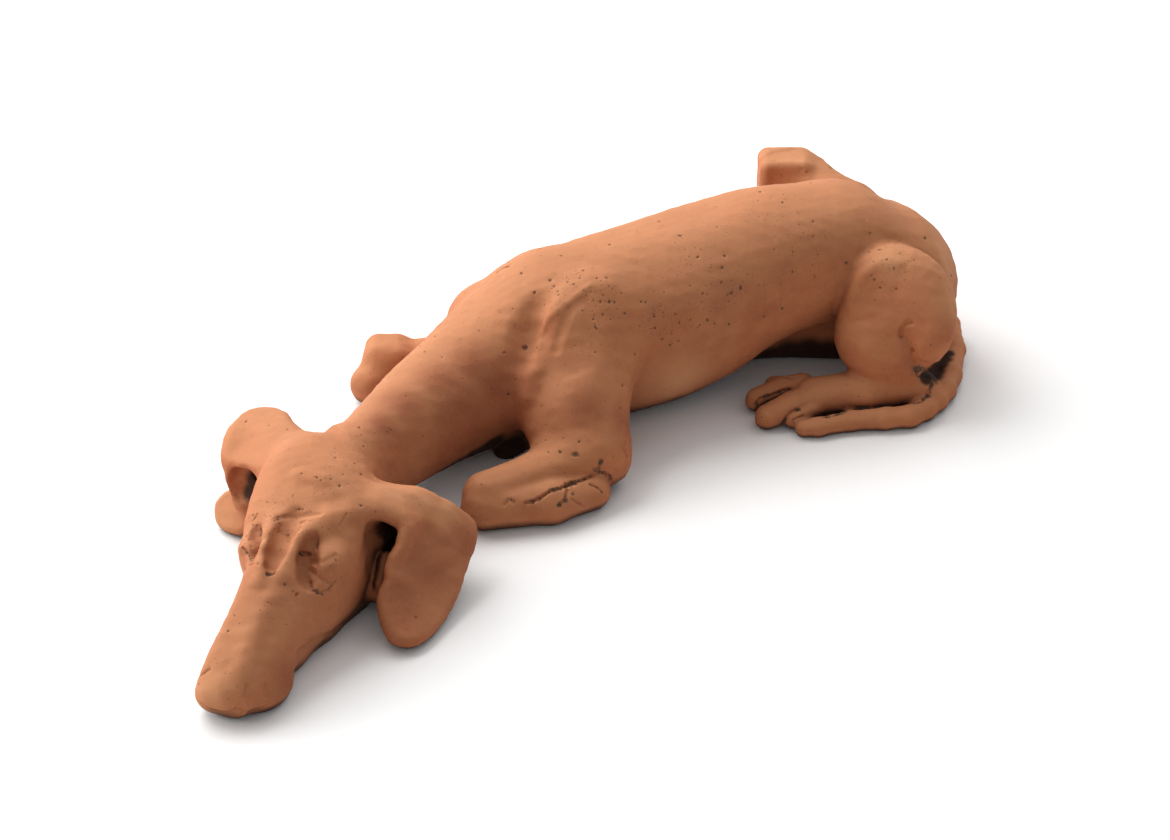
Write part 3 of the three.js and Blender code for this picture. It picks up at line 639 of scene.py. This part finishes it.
# The dog's fine surface
# Marks of tools and fingers, in millimetres: points along the mark, its half width, its depth, and the share
# of dirt that lies in it. A rim that stands up has a depth below 0. Those of the face are in the head's frame.
FACE_MARKS = {
    "near eye, upper crease": ([(-79.5, 8, 43), (-77.5, 12.5, 43), (-76.5, 17, 42), (-79, 20, 38.5)], 1.3, 0.8, 0.2),
    "near eye, lower line": ([(-73.5, 12.5, 40), (-70, 16, 39), (-71.5, 18, 37), (-77, 20.5, 36),
                              (-82, 21.5, 37.5)], 1.1, 1.0, 0.8),
    "near eye, lid": ([(-81, 10, 44.5), (-79, 15, 44.5), (-81, 19.5, 41.5)], 1.7, -0.8, 0),
    "near eye, ball": ([(-75.5, 13, 41), (-75, 17, 39.5)], 2.2, -0.7, 0),
    "near eye, fold": ([(-83, 7.5, 45), (-81.5, 12, 46.5), (-81.5, 16.5, 48.5), (-87.5, 19.5, 49)], 2.2, 0.5, 0),
    "near eye, inner wall": ([(-80.5, 3.5, 46.5), (-76, 8.5, 41.5), (-69, 14, 40)], 3, 0.8, 0.1),
    "near eye, hole": ([(-82, 3.5, 49), (-84.5, 6, 47.5)], 1.7, 2.2, 0.75),
    "near eye, slot": ([(-91, 7.5, 56.5), (-90, 8, 52.5), (-87, 9, 50.5)], 1.3, 0.9, 0.75),
    "near eye, front pit": ([(-62.3, 11.5, 40.6), (-61.7, 11.5, 40.4)], 1.3, 1.2, 1),
    "between the eyes": ([(-61, -3, 49), (-62.5, -1, 49.5)], 1.8, 1.4, 0.9),
    "far eye, upper line": ([(-84, -28.5, 48.5), (-82, -25.5, 49.5), (-81, -20.5, 49), (-75, -15, 51)], 1, 0.8, 0.3),
    "far eye, second line": ([(-77.5, -25.5, 49), (-76.5, -21, 49), (-70.5, -14, 52)], 0.8, 0.6, 0.25),
    "far eye, lower line": ([(-75.5, -25.5, 48), (-72, -20, 47.5), (-66.5, -14, 49)], 1.2, 1.1, 0.85),
    "far eye, corner": ([(-88, -22, 51), (-83, -18, 52), (-77.5, -15, 53)], 1.8, 1.2, 0.5),
    "far eye, rim under it": ([(-65.5, -15.5, 47.5), (-62.5, -9, 52)], 1, 0.6, 0.15),
    "far cheek": ([(-68.5, -20.5, 42), (-64, -17, 44)], 1.2, 0.7, 0.7),
    "brow dents": ([(-91, -14, 58.5), (-89.5, -11.5, 56), (-87, -10.5, 54.5)], 1.2, 0.6, 0.6),
    "brow dent": ([(-87.5, -7, 53), (-84.5, -4.5, 52.5)], 1, 0.5, 0.5),
    "forehead wrinkle": ([(-90, -15, 59), (-96, -11, 57.5), (-98.5, -6, 57.5), (-100, -0.5, 59),
                          (-101.5, 3.5, 60)], 2.2, 0.6, 0.25),
    "forehead dent": ([(-95, -3.5, 57), (-95, -0.5, 59), (-95, 2, 60)], 1.3, 0.7, 0.6),
    "far brow": ([(-93, -29.5, 51.5), (-95.5, -28.5, 54)], 1.1, 0.6, 0.6),
    "temple scratch": ([(-103, 13.5, 54.5), (-110.5, 13.5, 57)], 0.9, 0.6, 0.1),
    "nose, lower edge": ([(-3, -8.5, 10.5), (-3.5, -2.5, 8.5), (-5, 3, 8), (-7, 7.5, 10)], 1.2, 0.9, 0.3),
    "nose, side": ([(-13, 11, 21), (-10, 11, 16), (-7, 7.5, 10)], 1.8, 0.8, 0.05),
    "nostril": ([(-11.5, -13, 19.5), (-13.5, -9.5, 23)], 1.3, 0.9, 0.2),
    "lip": ([(-7, 9, 10), (-12, 13, 6.5), (-18, 17.5, 7)], 1.4, 0.9, 0.1),
    "lip fold": ([(-21, 16, 17.5), (-19, 17, 11.5)], 2, 0.8, 0.05),
    "mouth": ([(-49, 18, 17), (-66, 18.5, 13.5), (-82.5, 20, 7.5), (-96.5, 20.5, 5.5)], 2.4, 1.2, 0.1),
    "muzzle, ridge": ([(-54, 6, 42.5), (-38.5, 5.5, 37), (-25.5, 6, 31.5), (-14, 5.5, 24.5)], 8, -0.6, 0),
    "near ear, hollow": ([(-137, 42, 38), (-139.5, 51.5, 27.5), (-127, 55, 18.5)], 8, 1.2, 0),
    "near ear, fold": ([(-116, 37.5, 38.5), (-103.5, 38, 26)], 3.5, -0.7, 0),
    "near ear, grime": ([(-134, 22, 34), (-130.5, 23, 30.5), (-131, 24, 24.5)], 3, 0.2, 0.95),
    "forehead lump": ([(-119, -16.5, 66), (-120.5, -6.5, 65)], 7, -0.9, 0),
}
BODY_MARKS = {
    "far shoulder crack": ([(-2.5, 66, 80), (0.5, 65.5, 82), (2, 61.5, 84.5)], 1.1, 0.9, 0.7),
    "shoulder ridge": ([(-9.5, 8, 66), (-4.5, 13, 70), (-1, 14, 76.5), (6.5, 12, 83.5), (16.5, 14, 87),
                        (26, 15.5, 89.5)], 3, -0.5, 0),
    "shoulder, crease behind the ridge": ([(-2.5, 0.5, 67), (3.5, 5, 75), (11, 9.5, 82.5), (20, 10, 85.5)],
                                          4, 0.7, 0.1),
    "shoulder, hollow before it": ([(-5, 24.5, 79), (-7, 17.5, 71.5)], 6, 0.6, 0),
    "thigh, bevel": ([(164.5, -24, 57), (170.5, -23, 70), (179, -27, 80), (189.5, -34.5, 82)], 5, -0.8, 0),
    "thigh, rim": ([(197, -34.5, 84), (202.5, -48.5, 77), (204.5, -59, 63.5), (204, -64.5, 44.5)], 5, -0.7, 0),
    "thigh, hollow": ([(177.5, -34, 67.5), (179.5, -42, 59)], 12, 0.8, 0),
    "thigh, lump": ([(165.5, -36, 47), (164, -43, 38.5)], 7, -0.6, 0),
    "far knee, top": ([(189, 103.5, 79), (195.5, 105, 80.5), (207, 102.5, 80.5)], 3, -0.4, 0),
    "far knee, front": ([(189.5, 90.5, 76), (202, 83.5, 76)], 6, 0.5, 0),
    "near paw, crease": ([(-49.5, -50.5, 17), (-45.5, -51.5, 17), (-41, -52, 18.5), (-34.5, -52, 21),
                          (-29.5, -52.5, 20.5), (-22, -49.5, 20), (-16.5, -49.5, 19.5), (-11.5, -49, 19),
                          (-5, -49.5, 20.5), (-1.5, -50.5, 18.5), (2, -49.5, 13)], 1.5, 1.4, 0.85),
    "near paw, root of the toes": ([(-25, -51, 20), (-20, -50, 19.5)], 2.8, 1.3, 1),
    "near paw, outer root": ([(-7.5, -49, 21.5), (-5, -49, 23), (-3.5, -48.5, 26)], 1.8, 0.8, 1),
    "near paw, gap": ([(-26, -53.5, 19), (-29, -57, 16.5), (-33.5, -58, 14.5)], 1.5, 1.5, 0.95),
    "near paw, nail": ([(-12.5, -53, 17.5), (-9, -55, 15), (-7.5, -56.5, 12.5)], 0.9, 0.9, 0.8),
    "near paw, second nail": ([(-25.5, -57, 15), (-22.5, -57.5, 12), (-19, -57.5, 9)], 0.9, 0.8, 0.6),
    "near wrist": ([(-59.5, -47, 17), (-56.5, -46, 19), (-55, -48, 17.5)], 1.3, 0.5, 0.7),
    "near elbow": ([(14.5, -43, 28.5), (12, -46, 26.5), (14, -46.5, 21.5)], 1.2, 0.9, 0.2),
    "first rib": ([(107, -7, 74), (106, -10, 62)], 1.6, 0.3, 0.15),
    "second rib": ([(121, -8, 76), (120.5, -11, 58.5)], 1.8, 0.45, 0.25),
    "third rib": ([(130, -9.5, 74), (130.5, -11.5, 58.5)], 1.8, 0.45, 0.25),
    "thigh, notch": ([(181.5, -50.5, 46), (182.5, -49.5, 50), (184, -50.5, 52.5), (186, -52.5, 54)], 2.2, 1.2, 0),
    "thigh, crease": ([(182.5, -51, 45.5), (184.5, -54, 42), (185.5, -56, 38.5), (185, -56.5, 33),
                       (188.5, -57.5, 25.5)], 2, 1.0, 0.1),
    "thigh, pit": ([(185.3, -56.3, 39), (185.7, -56.7, 38)], 1.6, 1.2, 0.5),
    # The heel gap's dark line is painted shade in the gap
    "heel gap": ([(189.5, -57.5, 25), (199, -55.5, 17), (214, -42, 10)], 3.4, 0.3, 1),
    "foot beside the tail": ([(197, -60.5, 16), (192, -64, 12), (186, -66.5, 12), (180, -64, 9.5), (174, -58.5, 8),
                              (162.5, -55, 8.5), (154, -52, 9), (144, -53, 10), (135, -51.5, 10),
                              (128, -47, 9), (121, -45.5, 7)], 1.5, 0.8, 1),
    "hind foot, first gap": ([(110, -20, 8), (112.5, -20, 10.5), (118.5, -21.5, 11.5), (125, -22.5, 13),
                              (128.5, -23.5, 13.5)], 1.5, 1.3, 0.95),
    "hind foot, second gap": ([(115, -38, 4.5), (117, -39, 8), (120.5, -39.5, 11), (124, -40, 11)], 1.3, 1.2, 0.95),
    "hind foot, third gap": ([(119.5, -43, 8), (125, -43.5, 9)], 1.2, 0.9, 0.7),
    "hind foot, inner toe": ([(128.5, -12.5, 15), (134, -19, 16.5)], 1.4, 0.8, 0.6),
}
# Larger pits: place and radius
PITS = [
    (11.5, 32, 88.5, 1.1), (11, 27, 87.5, 0.8), (1, 30, 85, 1.0), (29, 27.5, 92, 0.9), (-14, 13, 65, 1.5),
    (20.5, 0, 74, 0.8), (-31, 1.5, 48, 0.9), (100.5, -6, 74, 1.0), (106.5, -6, 75.5, 1.2), (103.5, 6, 90, 0.9),
    (99.5, 2, 86, 1.0), (119, -11, 56.5, 0.8), (130.5, -11.5, 58, 0.9), (217.5, -17.5, 80, 1.1),
    (168.5, -14, 77, 1.0), (-14.5, -41.5, 30, 1.7), (-21, -36.5, 30.5, 1.0), (-26, -33, 30.5, 0.8),
    (-167, -77, 54.5, 0.9),
]
# Places where small pits crowd: middle and reach
CROWDS = [
    (-131, -24, 60, 12), (-129, -36, 54, 9), (-110, -20, 36, 9), (-185, -50, 58, 14), (17, 24, 89, 10),
    (9, 25, 87, 8), (99, -3, 78, 13), (106, -7, 72, 9), (85, 7, 87, 12), (27, -19, 47, 9), (11, -6, 66, 8),
    (142, -8, 82, 12), (56, -4, 66, 12), (-154, -46, 62, 14), (-60, -28, 26, 9), (190, -30, 81, 12),
    (-209, -92, 41, 9), (-145, -98, 17, 9), (28, 8, 84, 10),
]
# Places darkened with painted shade where the dog's sides lie in shade, and places made paler with painted
# highlights where the light catches them: middle and reach
PAINTED_SHADE_PLACES = [
    (-120, -85, 25, 24), (-98, -76, 26, 18), (-144, -100, 18, 20), (-66, 12, 61, 14), (-90, 4, 59, 14),
    (-45, 14, 64, 14), (-34, 4, 54, 18), (-60, 0, 48, 20), (-107, -5, 57, 10), (-214, -115, 12, 12),
    (0, -26, 46, 14), (16, -32, 34, 12),
]
PAINTED_HIGHLIGHT_PLACES = [
    (-254, -112, 17, 10), (-124, -59, 54, 8), (-112, -62, 48, 8), (-102, -66, 40, 8), (226, -24, 68, 18),
    (206, -58, 65, 9), (198, 85, 76, 16), (-184, 24, 10, 14), (70, -6, 26, 16), (186, -31, 82, 9),
]
# Hollows and gaps painted almost black as painted shade: middle and reach
PAINTED_BLACK_SHADE_PLACES = [
    (195, -58, 19, 6), (200, -55, 17, 8), (206, -49, 11, 9), (211, -45, 9, 9), (216, -42, 10, 8),
    (221, -39, 11, 7), (226, -36, 12, 5), (-24, 12, 4, 17), (-38, 5, 14, 13), (-50, 5, 11, 13),
    (146, 22, 5, 15), (154, 15, 6, 17), (163, 9, 7, 18), (172, 4, 6, 18), (181, 1, 4, 17),
    (-168, 16, 31, 10), (-170, 17, 24, 9),
]
# Directions and reaches in millimetres that a point is tested along for shelter
RAYS = 28
REACHES = (4.0, 8.0, 13.0, 20.0, 30.0)


def waves(p, length, count, seed):
    """Gentle uneven swell with that wavelength, mostly between -1 and 1."""
    random = np.random.default_rng(seed)
    direction = random.normal(size=(count, 3))
    direction /= np.linalg.norm(direction, axis=1)[:, None]
    stretch = random.uniform(0.7, 1.4, count)
    phase = random.uniform(0, 2 * math.pi, count)
    total = np.zeros(len(p))
    for d, s, f in zip(direction, stretch, phase):
        total += np.sin(p @ d * (2 * math.pi * s / length) + f)
    return total / math.sqrt(count)


def read_marks(points):
    """Depth and dirt of the marks at each point, and how near the closest mark's edge is."""
    depth = np.zeros(len(points))
    dirt = np.zeros(len(points))
    edge = np.full(len(points), np.inf)
    for p, marks in ((tohead(points), FACE_MARKS), (points, BODY_MARKS)):
        for path, half, low, share in marks.values():
            far = np.maximum(limb(p, path, [0] * len(path), 0.1), 0)
            depth += low * np.clip(1 - (far / half) ** 2, 0, 1) ** 2
            dirt = np.maximum(dirt, share * np.clip(1.4 - 0.8 * far / half, 0, 1))
            edge = np.minimum(edge, far - half)
    return depth, dirt, edge


def nearness(points, places):
    """How near each point is to the closest of the places, from 0 to 1 at its middle."""
    near = np.zeros(len(points))
    for *middle, reach in places:
        near = np.maximum(near, np.exp(-np.sum((points - middle) ** 2, axis=1) / reach**2))
    return near


def pit_places(points, sizes):
    """Middles and radii of the pits: the larger ones and many small ones, crowded in seeded places."""
    random = np.random.default_rng(sizes.seed)
    seen = points[points[:, 2] > 8]
    high = np.clip(seen[:, 2] / 60, 0.3, 1.2)
    chance = (0.3 + 2.5 * nearness(seen, CROWDS)) * np.exp(1.2 * waves(seen, 70.0, 12, sizes.seed + 1)) * high
    middles = seen[random.choice(len(seen), sizes.pits, replace=False, p=chance / chance.sum())]
    radii = 0.3 + 0.6 * random.random(sizes.pits) ** 3
    large = np.array(PITS)
    return np.concatenate([large[:, :3], middles]), np.concatenate([large[:, 3], radii])


def read_pits(points, middles, radii):
    """Depth and dirt of the pits at each point, and how near the closest pit's edge is."""
    depth = np.zeros(len(points))
    dirt = np.zeros(len(points))
    edge = np.full(len(points), np.inf)
    uneven = 1 + 0.22 * waves(points, 2.2, 9, 3)
    for middle, radius in zip(middles, radii):
        near = np.flatnonzero(np.abs(points[:, 0] - middle[0]) < 4)
        far = np.linalg.norm(points[near] - middle, axis=1)
        edge[near] = np.minimum(edge[near], far - radius)
        far = far * uneven[near] / radius
        depth[near] = np.maximum(depth[near], 0.55 * radius * np.exp(-1.6 * far**2))
        dirt[near] = np.maximum(dirt[near], np.clip(1.9 - 1.4 * far, 0, 1))
    return depth, dirt, edge


def divide(mesh, close):
    """Divides the faces between close points in nine, so that small marks come out crisp."""
    form = bmesh.new()
    form.from_mesh(mesh)
    edges = [e for e in form.edges if close[e.verts[0].index] and close[e.verts[1].index]]
    bmesh.ops.subdivide_edges(form, edges=edges, cuts=2, use_grid_fill=True)
    form.to_mesh(mesh)
    form.free()


def surface(mesh):
    """The mesh's points and their normals as arrays."""
    arrays = []
    for name in ("co", "normal"):
        flat = np.empty(len(mesh.vertices) * 3, np.float32)
        mesh.vertices.foreach_get(name, flat)
        arrays.append(flat.reshape(-1, 3).astype(float))
    return arrays


def shift(mesh, points):
    """Moves the mesh's points to new places."""
    mesh.vertices.foreach_set("co", points.astype(np.float32).ravel())
    mesh.update()


def crease_depth(points, normals):
    """How shut in each vertex is, from 0 on the open to 1 deep in a crease."""
    shut = np.zeros(len(points))
    for reach in (2.5, 7.0):
        shut += np.clip(1 - read(points + normals * reach) / reach, 0, 1)
    return shut / 2


def shelter(points, normals, field, step):
    """How much of the air round each point the dog and the floor take up, from 0 to 1."""
    random = np.random.default_rng(5)
    top = np.array(field.shape) - 1
    taken = np.zeros(len(points))
    for _ in range(RAYS):
        ray = random.normal(size=3)
        way = normals * 1.02 + ray / np.linalg.norm(ray)
        way /= np.linalg.norm(way, axis=1)[:, None]
        shut = np.zeros(len(points))
        for reach in REACHES:
            at = points + way * reach
            cell = np.clip(np.rint((at - GRID_LOW) / step).astype(int), 0, top)
            air = np.minimum(field[tuple(cell.T)], at[:, 2])
            shut = np.maximum(shut, np.clip(0.5 - air / (0.4 * reach), 0, 1))
        taken += shut
    return taken / RAYS


def hound_mesh(sizes):
    """The finished surface with its crease and dirt values."""
    field = read_field(GRID_LOW, GRID_HIGH, sizes.step)
    points, faces = wrap(field, GRID_LOW, sizes.step)
    middles, radii = pit_places(points, sizes)
    mesh = bpy.data.meshes.new("hound_clay")
    mesh.from_pydata(points.tolist(), [], faces.tolist())
    edge = np.minimum(read_marks(points)[2], read_pits(points, middles, radii)[2])
    divide(mesh, edge < sizes.step * 1.2)
    for share in (0.8, 1.0):
        points, normals = surface(mesh)
        shift(mesh, points - normals * (read(points) * share)[:, None])
    points, normals = surface(mesh)
    crease = crease_depth(points, normals)
    # Painted shade: how shut in each point is, for the dark colour of the deepest hollows
    gloom = shelter(points, normals, field, sizes.step)
    # The crowded pits, then the painted shade and the painted highlights at their listed places
    crowd, fired, painted_highlight = (nearness(points, places) for places in (CROWDS, PAINTED_SHADE_PLACES, PAINTED_HIGHLIGHT_PLACES))
    # Painted shade: the listed gaps by the heel, under the neck and belly and in the far ear are painted almost
    # black
    gloom = np.maximum(gloom, nearness(points, PAINTED_BLACK_SHADE_PLACES) * 1.1)
    marks, dirt, _ = read_marks(points)
    holes, dark, _ = read_pits(points, middles, radii)
    swell = waves(points, 34.0, 14, sizes.seed + 2) * 0.32 + waves(points, 9.0, 14, sizes.seed + 3) * 0.12
    swell += waves(points, 5.0, 14, sizes.seed + 4) * 0.05
    above = np.clip((points[:, 2] - 0.5) / 4, 0, 1)
    points += normals * ((swell * sizes.wobble - holes) * above - marks)[:, None]
    points[:, 2] = np.maximum(points[:, 2], 0)
    points[:, :2] -= MIDDLE
    shift(mesh, points * METRES)
    # Among these layers are the painted shade and the painted highlights
    layers = {"crease": crease, "dirt": dirt, "pit": dark, "gloom": gloom, "crowd": crowd, "fired": fired,
              "painted_highlight": painted_highlight}
    for name, values in layers.items():
        layer = mesh.attributes.new(name, "FLOAT", "POINT")
        layer.data.foreach_set("value", values.astype(np.float32))
    return mesh


def thin(piece, faces):
    """Cuts the piece's mesh down to that many triangles."""
    mesh = piece.data
    mesh.calc_loop_triangles()
    share = faces / len(mesh.loop_triangles)
    if share >= 1:
        return
    modifier = piece.modifiers.new("thin", "DECIMATE")
    modifier.ratio = share
    modifier.use_collapse_triangulate = True
    bpy.context.view_layer.objects.active = piece
    bpy.ops.object.modifier_apply(modifier=modifier.name)


# Sizes and colours that a user would change


class HoundSizes(bpy.types.PropertyGroup):
    """Sizes of the dog's surface."""

    step: bpy.props.FloatProperty(name="Grid step", description="Spacing that the form is read at, in mm",
                                  default=1.25, min=0.8, max=5.0)
    faces: bpy.props.IntProperty(name="Triangles", description="Triangles kept in the finished surface",
                                 default=194000, min=10000, max=199000)
    wobble: bpy.props.FloatProperty(name="Hand wobble", description="Height of the uneven hand-smoothed swell",
                                    default=1.0, min=0.0, max=3.0)
    pits: bpy.props.IntProperty(name="Pits", description="Number of small pits", default=700, min=0, max=2000)
    seed: bpy.props.IntProperty(name="Seed", description="Start of the random places", default=7)


class HoundLook(bpy.types.PropertyGroup):
    """Colours and strengths of the clay and the floor."""

    clay: bpy.props.FloatVectorProperty(name="Clay", description="Main colour", subtype="COLOR", size=4,
                                        default=(0.42, 0.150, 0.062, 1), min=0, max=1)
    warm: bpy.props.FloatVectorProperty(name="Warm clay", description="Redder patches", subtype="COLOR", size=4,
                                        default=(0.44, 0.142, 0.054, 1), min=0, max=1)
    # Darker clay, used for random tone and for the painted shade in creases and at listed places
    deep: bpy.props.FloatVectorProperty(name="Deep clay", description="Colour in hollows", subtype="COLOR",
                                        size=4, default=(0.26, 0.068, 0.026, 1), min=0, max=1)
    # Colour of the dust and the painted sheen on top, also of the painted highlights and the pale grain
    pale: bpy.props.FloatVectorProperty(name="Dust", description="Pale dust on top", subtype="COLOR", size=4,
                                        default=(0.58, 0.27, 0.128, 1), min=0, max=1)
    soot: bpy.props.FloatVectorProperty(name="Dirt", description="Dirt in pits and creases", subtype="COLOR",
                                        size=4, default=(0.06, 0.045, 0.032, 1), min=0, max=1)
    # Colour of the painted shade in the deepest hollows
    night: bpy.props.FloatVectorProperty(name="Deepest hollows", description="Colour in the deepest hollows",
                                         subtype="COLOR", size=4, default=(0.014, 0.005, 0.0025, 1), min=0, max=1)
    floor: bpy.props.FloatVectorProperty(name="Floor", description="Floor colour", subtype="COLOR", size=4,
                                         default=(0.93, 0.93, 0.93, 1), min=0, max=1)
    # Share of the pale colour on top, partly dust and partly a painted sheen
    dust_and_sheen: bpy.props.FloatProperty(name="Dustiness", description="Share of dust on top", default=0.45, min=0, max=1)
    dirt: bpy.props.FloatProperty(name="Dirt share", description="How dark the dirt is", default=0.9, min=0, max=1)
    # Strength of the painted shade at the listed places
    painted_shade_strength: bpy.props.FloatProperty(name="Dark firing", description="How dark the darker fired places are",
                                   default=0.75, min=0, max=1)
    # Strength of the painted highlights at the listed places
    painted_highlight: bpy.props.FloatProperty(name="Pale bloom", description="How pale the paler places are",
                                   default=0.7, min=0, max=1)
    # Strength of the painted shade in the deepest hollows
    gloom: bpy.props.FloatProperty(name="Gloom", description="How dark the deepest hollows are", default=0.93,
                                   min=0, max=1)
    bump: bpy.props.FloatProperty(name="Bump", description="Strength of the fine grain", default=0.8, min=0, max=1)
    roughness: bpy.props.FloatProperty(name="Roughness", description="Roughness of the clay", default=0.78,
                                       min=0, max=1)


class HoundStudio(bpy.types.PropertyGroup):
    """Camera and lights."""

    azimuth: bpy.props.FloatProperty(name="Azimuth", description="Camera azimuth in degrees", default=-29.5)
    elevation: bpy.props.FloatProperty(name="Elevation", description="Camera height in degrees", default=34.0)
    distance: bpy.props.FloatProperty(name="Distance", description="Camera to aim", default=1.5612,
                                      unit="LENGTH")
    aim: bpy.props.FloatVectorProperty(name="Aim", description="Point in the middle of the picture",
                                       default=(-0.0007, -0.0278, 0.04), subtype="TRANSLATION", unit="LENGTH")
    focal: bpy.props.FloatProperty(name="Focal length", description="In picture widths", default=3000 / 1170)
    sky: bpy.props.FloatProperty(name="Sky", description="Strength of the even light", default=0.42, min=0)
    key: bpy.props.FloatProperty(name="Key", description="Power of the broad key light", default=39.0, min=0)
    side: bpy.props.FloatProperty(name="Side", description="Power of the low side light", default=12.6, min=0)
    rim: bpy.props.FloatProperty(name="Rim", description="Power of the light behind the rump", default=10.0, min=0)


class HOUND_OT_dog(bpy.types.Operator):
    """Models the dog and gives it its clay"""

    bl_idname = "hound.dog"
    bl_label = "Build the dog"

    def execute(self, context):
        piece = bpy.data.objects.new("hound", hound_mesh(context.scene.hound_sizes))
        context.scene.collection.objects.link(piece)
        thin(piece, context.scene.hound_sizes.faces)
        piece.data.shade_smooth()
        piece.data.materials.append(terracotta(context.scene.hound_look))
        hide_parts("dog")
        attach(piece, "root")
        return {"FINISHED"}


class HOUND_OT_studio(bpy.types.Operator):
    """Lays the pale floor and sets the lights and the camera"""

    bl_idname = "hound.studio"
    bl_label = "Set the studio"

    def execute(self, context):
        studio = context.scene.hound_studio
        lay_floor(context.scene.hound_look)
        set_lights(studio)
        set_camera(studio)
        return {"FINISHED"}


class HOUND_PT_panel(bpy.types.Panel):
    """Sizes, looks and builders in the sidebar"""

    bl_label = "Hound"
    bl_idname = "HOUND_PT_panel"
    bl_space_type = "VIEW_3D"
    bl_region_type = "UI"
    bl_category = "Hound"

    def draw(self, context):
        for name in ("hound_sizes", "hound_look", "hound_studio"):
            group = getattr(context.scene, name)
            for field in group.bl_rna.properties:
                if not field.is_readonly:
                    self.layout.prop(group, field.identifier)
        for operator in (HOUND_OT_dog, HOUND_OT_studio):
            self.layout.operator(operator.bl_idname)


def lay_floor(look):
    """Floor sheet much wider than the view."""
    half = 3.0
    corners = [(-half, -half, 0), (half, -half, 0), (half, half, 0), (-half, half, 0)]
    mesh = bpy.data.meshes.new("floor")
    mesh.from_pydata(corners, [], [(0, 1, 2, 3)])
    floor = bpy.data.objects.new("floor", mesh)
    mesh.materials.append(floor_paper(look))
    bpy.context.scene.collection.objects.link(floor)


def add_area(name, place, size, power):
    """Square soft light at place, turned to the dog."""
    data = bpy.data.lights.new(name, "AREA")
    data.size = size
    data.energy = power
    data.color = (1, 0.99, 0.975)
    light = bpy.data.objects.new(name, data)
    light.location = place
    light.rotation_euler = (Vector((0, 0, 0.04)) - Vector(place)).to_track_quat("-Z", "Y").to_euler()
    bpy.context.scene.collection.objects.link(light)


def set_lights(studio):
    """Even white surroundings, a broad key over the dog's far side, a low light before its head and a rim."""
    scene = bpy.context.scene
    world = bpy.data.worlds.new("studio")
    world.use_nodes = True
    background = world.node_tree.nodes["Background"]
    background.inputs["Color"].default_value = (1, 1, 1, 1)
    background.inputs["Strength"].default_value = studio.sky
    scene.world = world
    add_area("key", (-0.33, 1.23, 1.27), 1.6, studio.key)
    add_area("side", (-1.3, 0.75, 0.55), 0.9, studio.side)
    add_area("rim", (1.1, 0.64, 1.27), 1.3, studio.rim)
    scene.view_settings.view_transform = "Standard"


def set_camera(studio):
    """Camera at the picture's viewing angle."""
    turn, rise = math.radians(studio.azimuth), math.radians(studio.elevation)
    back = Vector((math.sin(turn) * math.cos(rise), -math.cos(turn) * math.cos(rise), math.sin(rise)))
    data = bpy.data.cameras.new("camera")
    data.sensor_width = 36
    data.lens = studio.focal * data.sensor_width
    data.clip_end = 20
    camera = bpy.data.objects.new("camera", data)
    camera.location = Vector(studio.aim) + back * studio.distance
    camera.rotation_euler = (-back).to_track_quat("-Z", "Y").to_euler()
    bpy.context.scene.collection.objects.link(camera)
    bpy.context.scene.camera = camera


CLASSES = (HoundSizes, HoundLook, HoundStudio, HOUND_OT_dog, HOUND_OT_studio, HOUND_PT_panel)


def register():
    """Registers the classes and hangs the settings on the scene."""
    for c in CLASSES:
        bpy.utils.register_class(c)
    bpy.types.Scene.hound_sizes = bpy.props.PointerProperty(type=HoundSizes)
    bpy.types.Scene.hound_look = bpy.props.PointerProperty(type=HoundLook)
    bpy.types.Scene.hound_studio = bpy.props.PointerProperty(type=HoundStudio)


def unregister():
    """Takes the settings off and unregisters the classes."""
    for name in ("hound_sizes", "hound_look", "hound_studio"):
        delattr(bpy.types.Scene, name)
    for c in reversed(CLASSES):
        bpy.utils.unregister_class(c)


def main():
    """Builds everything."""
    register()
    bpy.ops.hound.studio()
    bpy.ops.hound.dog()


if __name__ == "__main__":
    main()
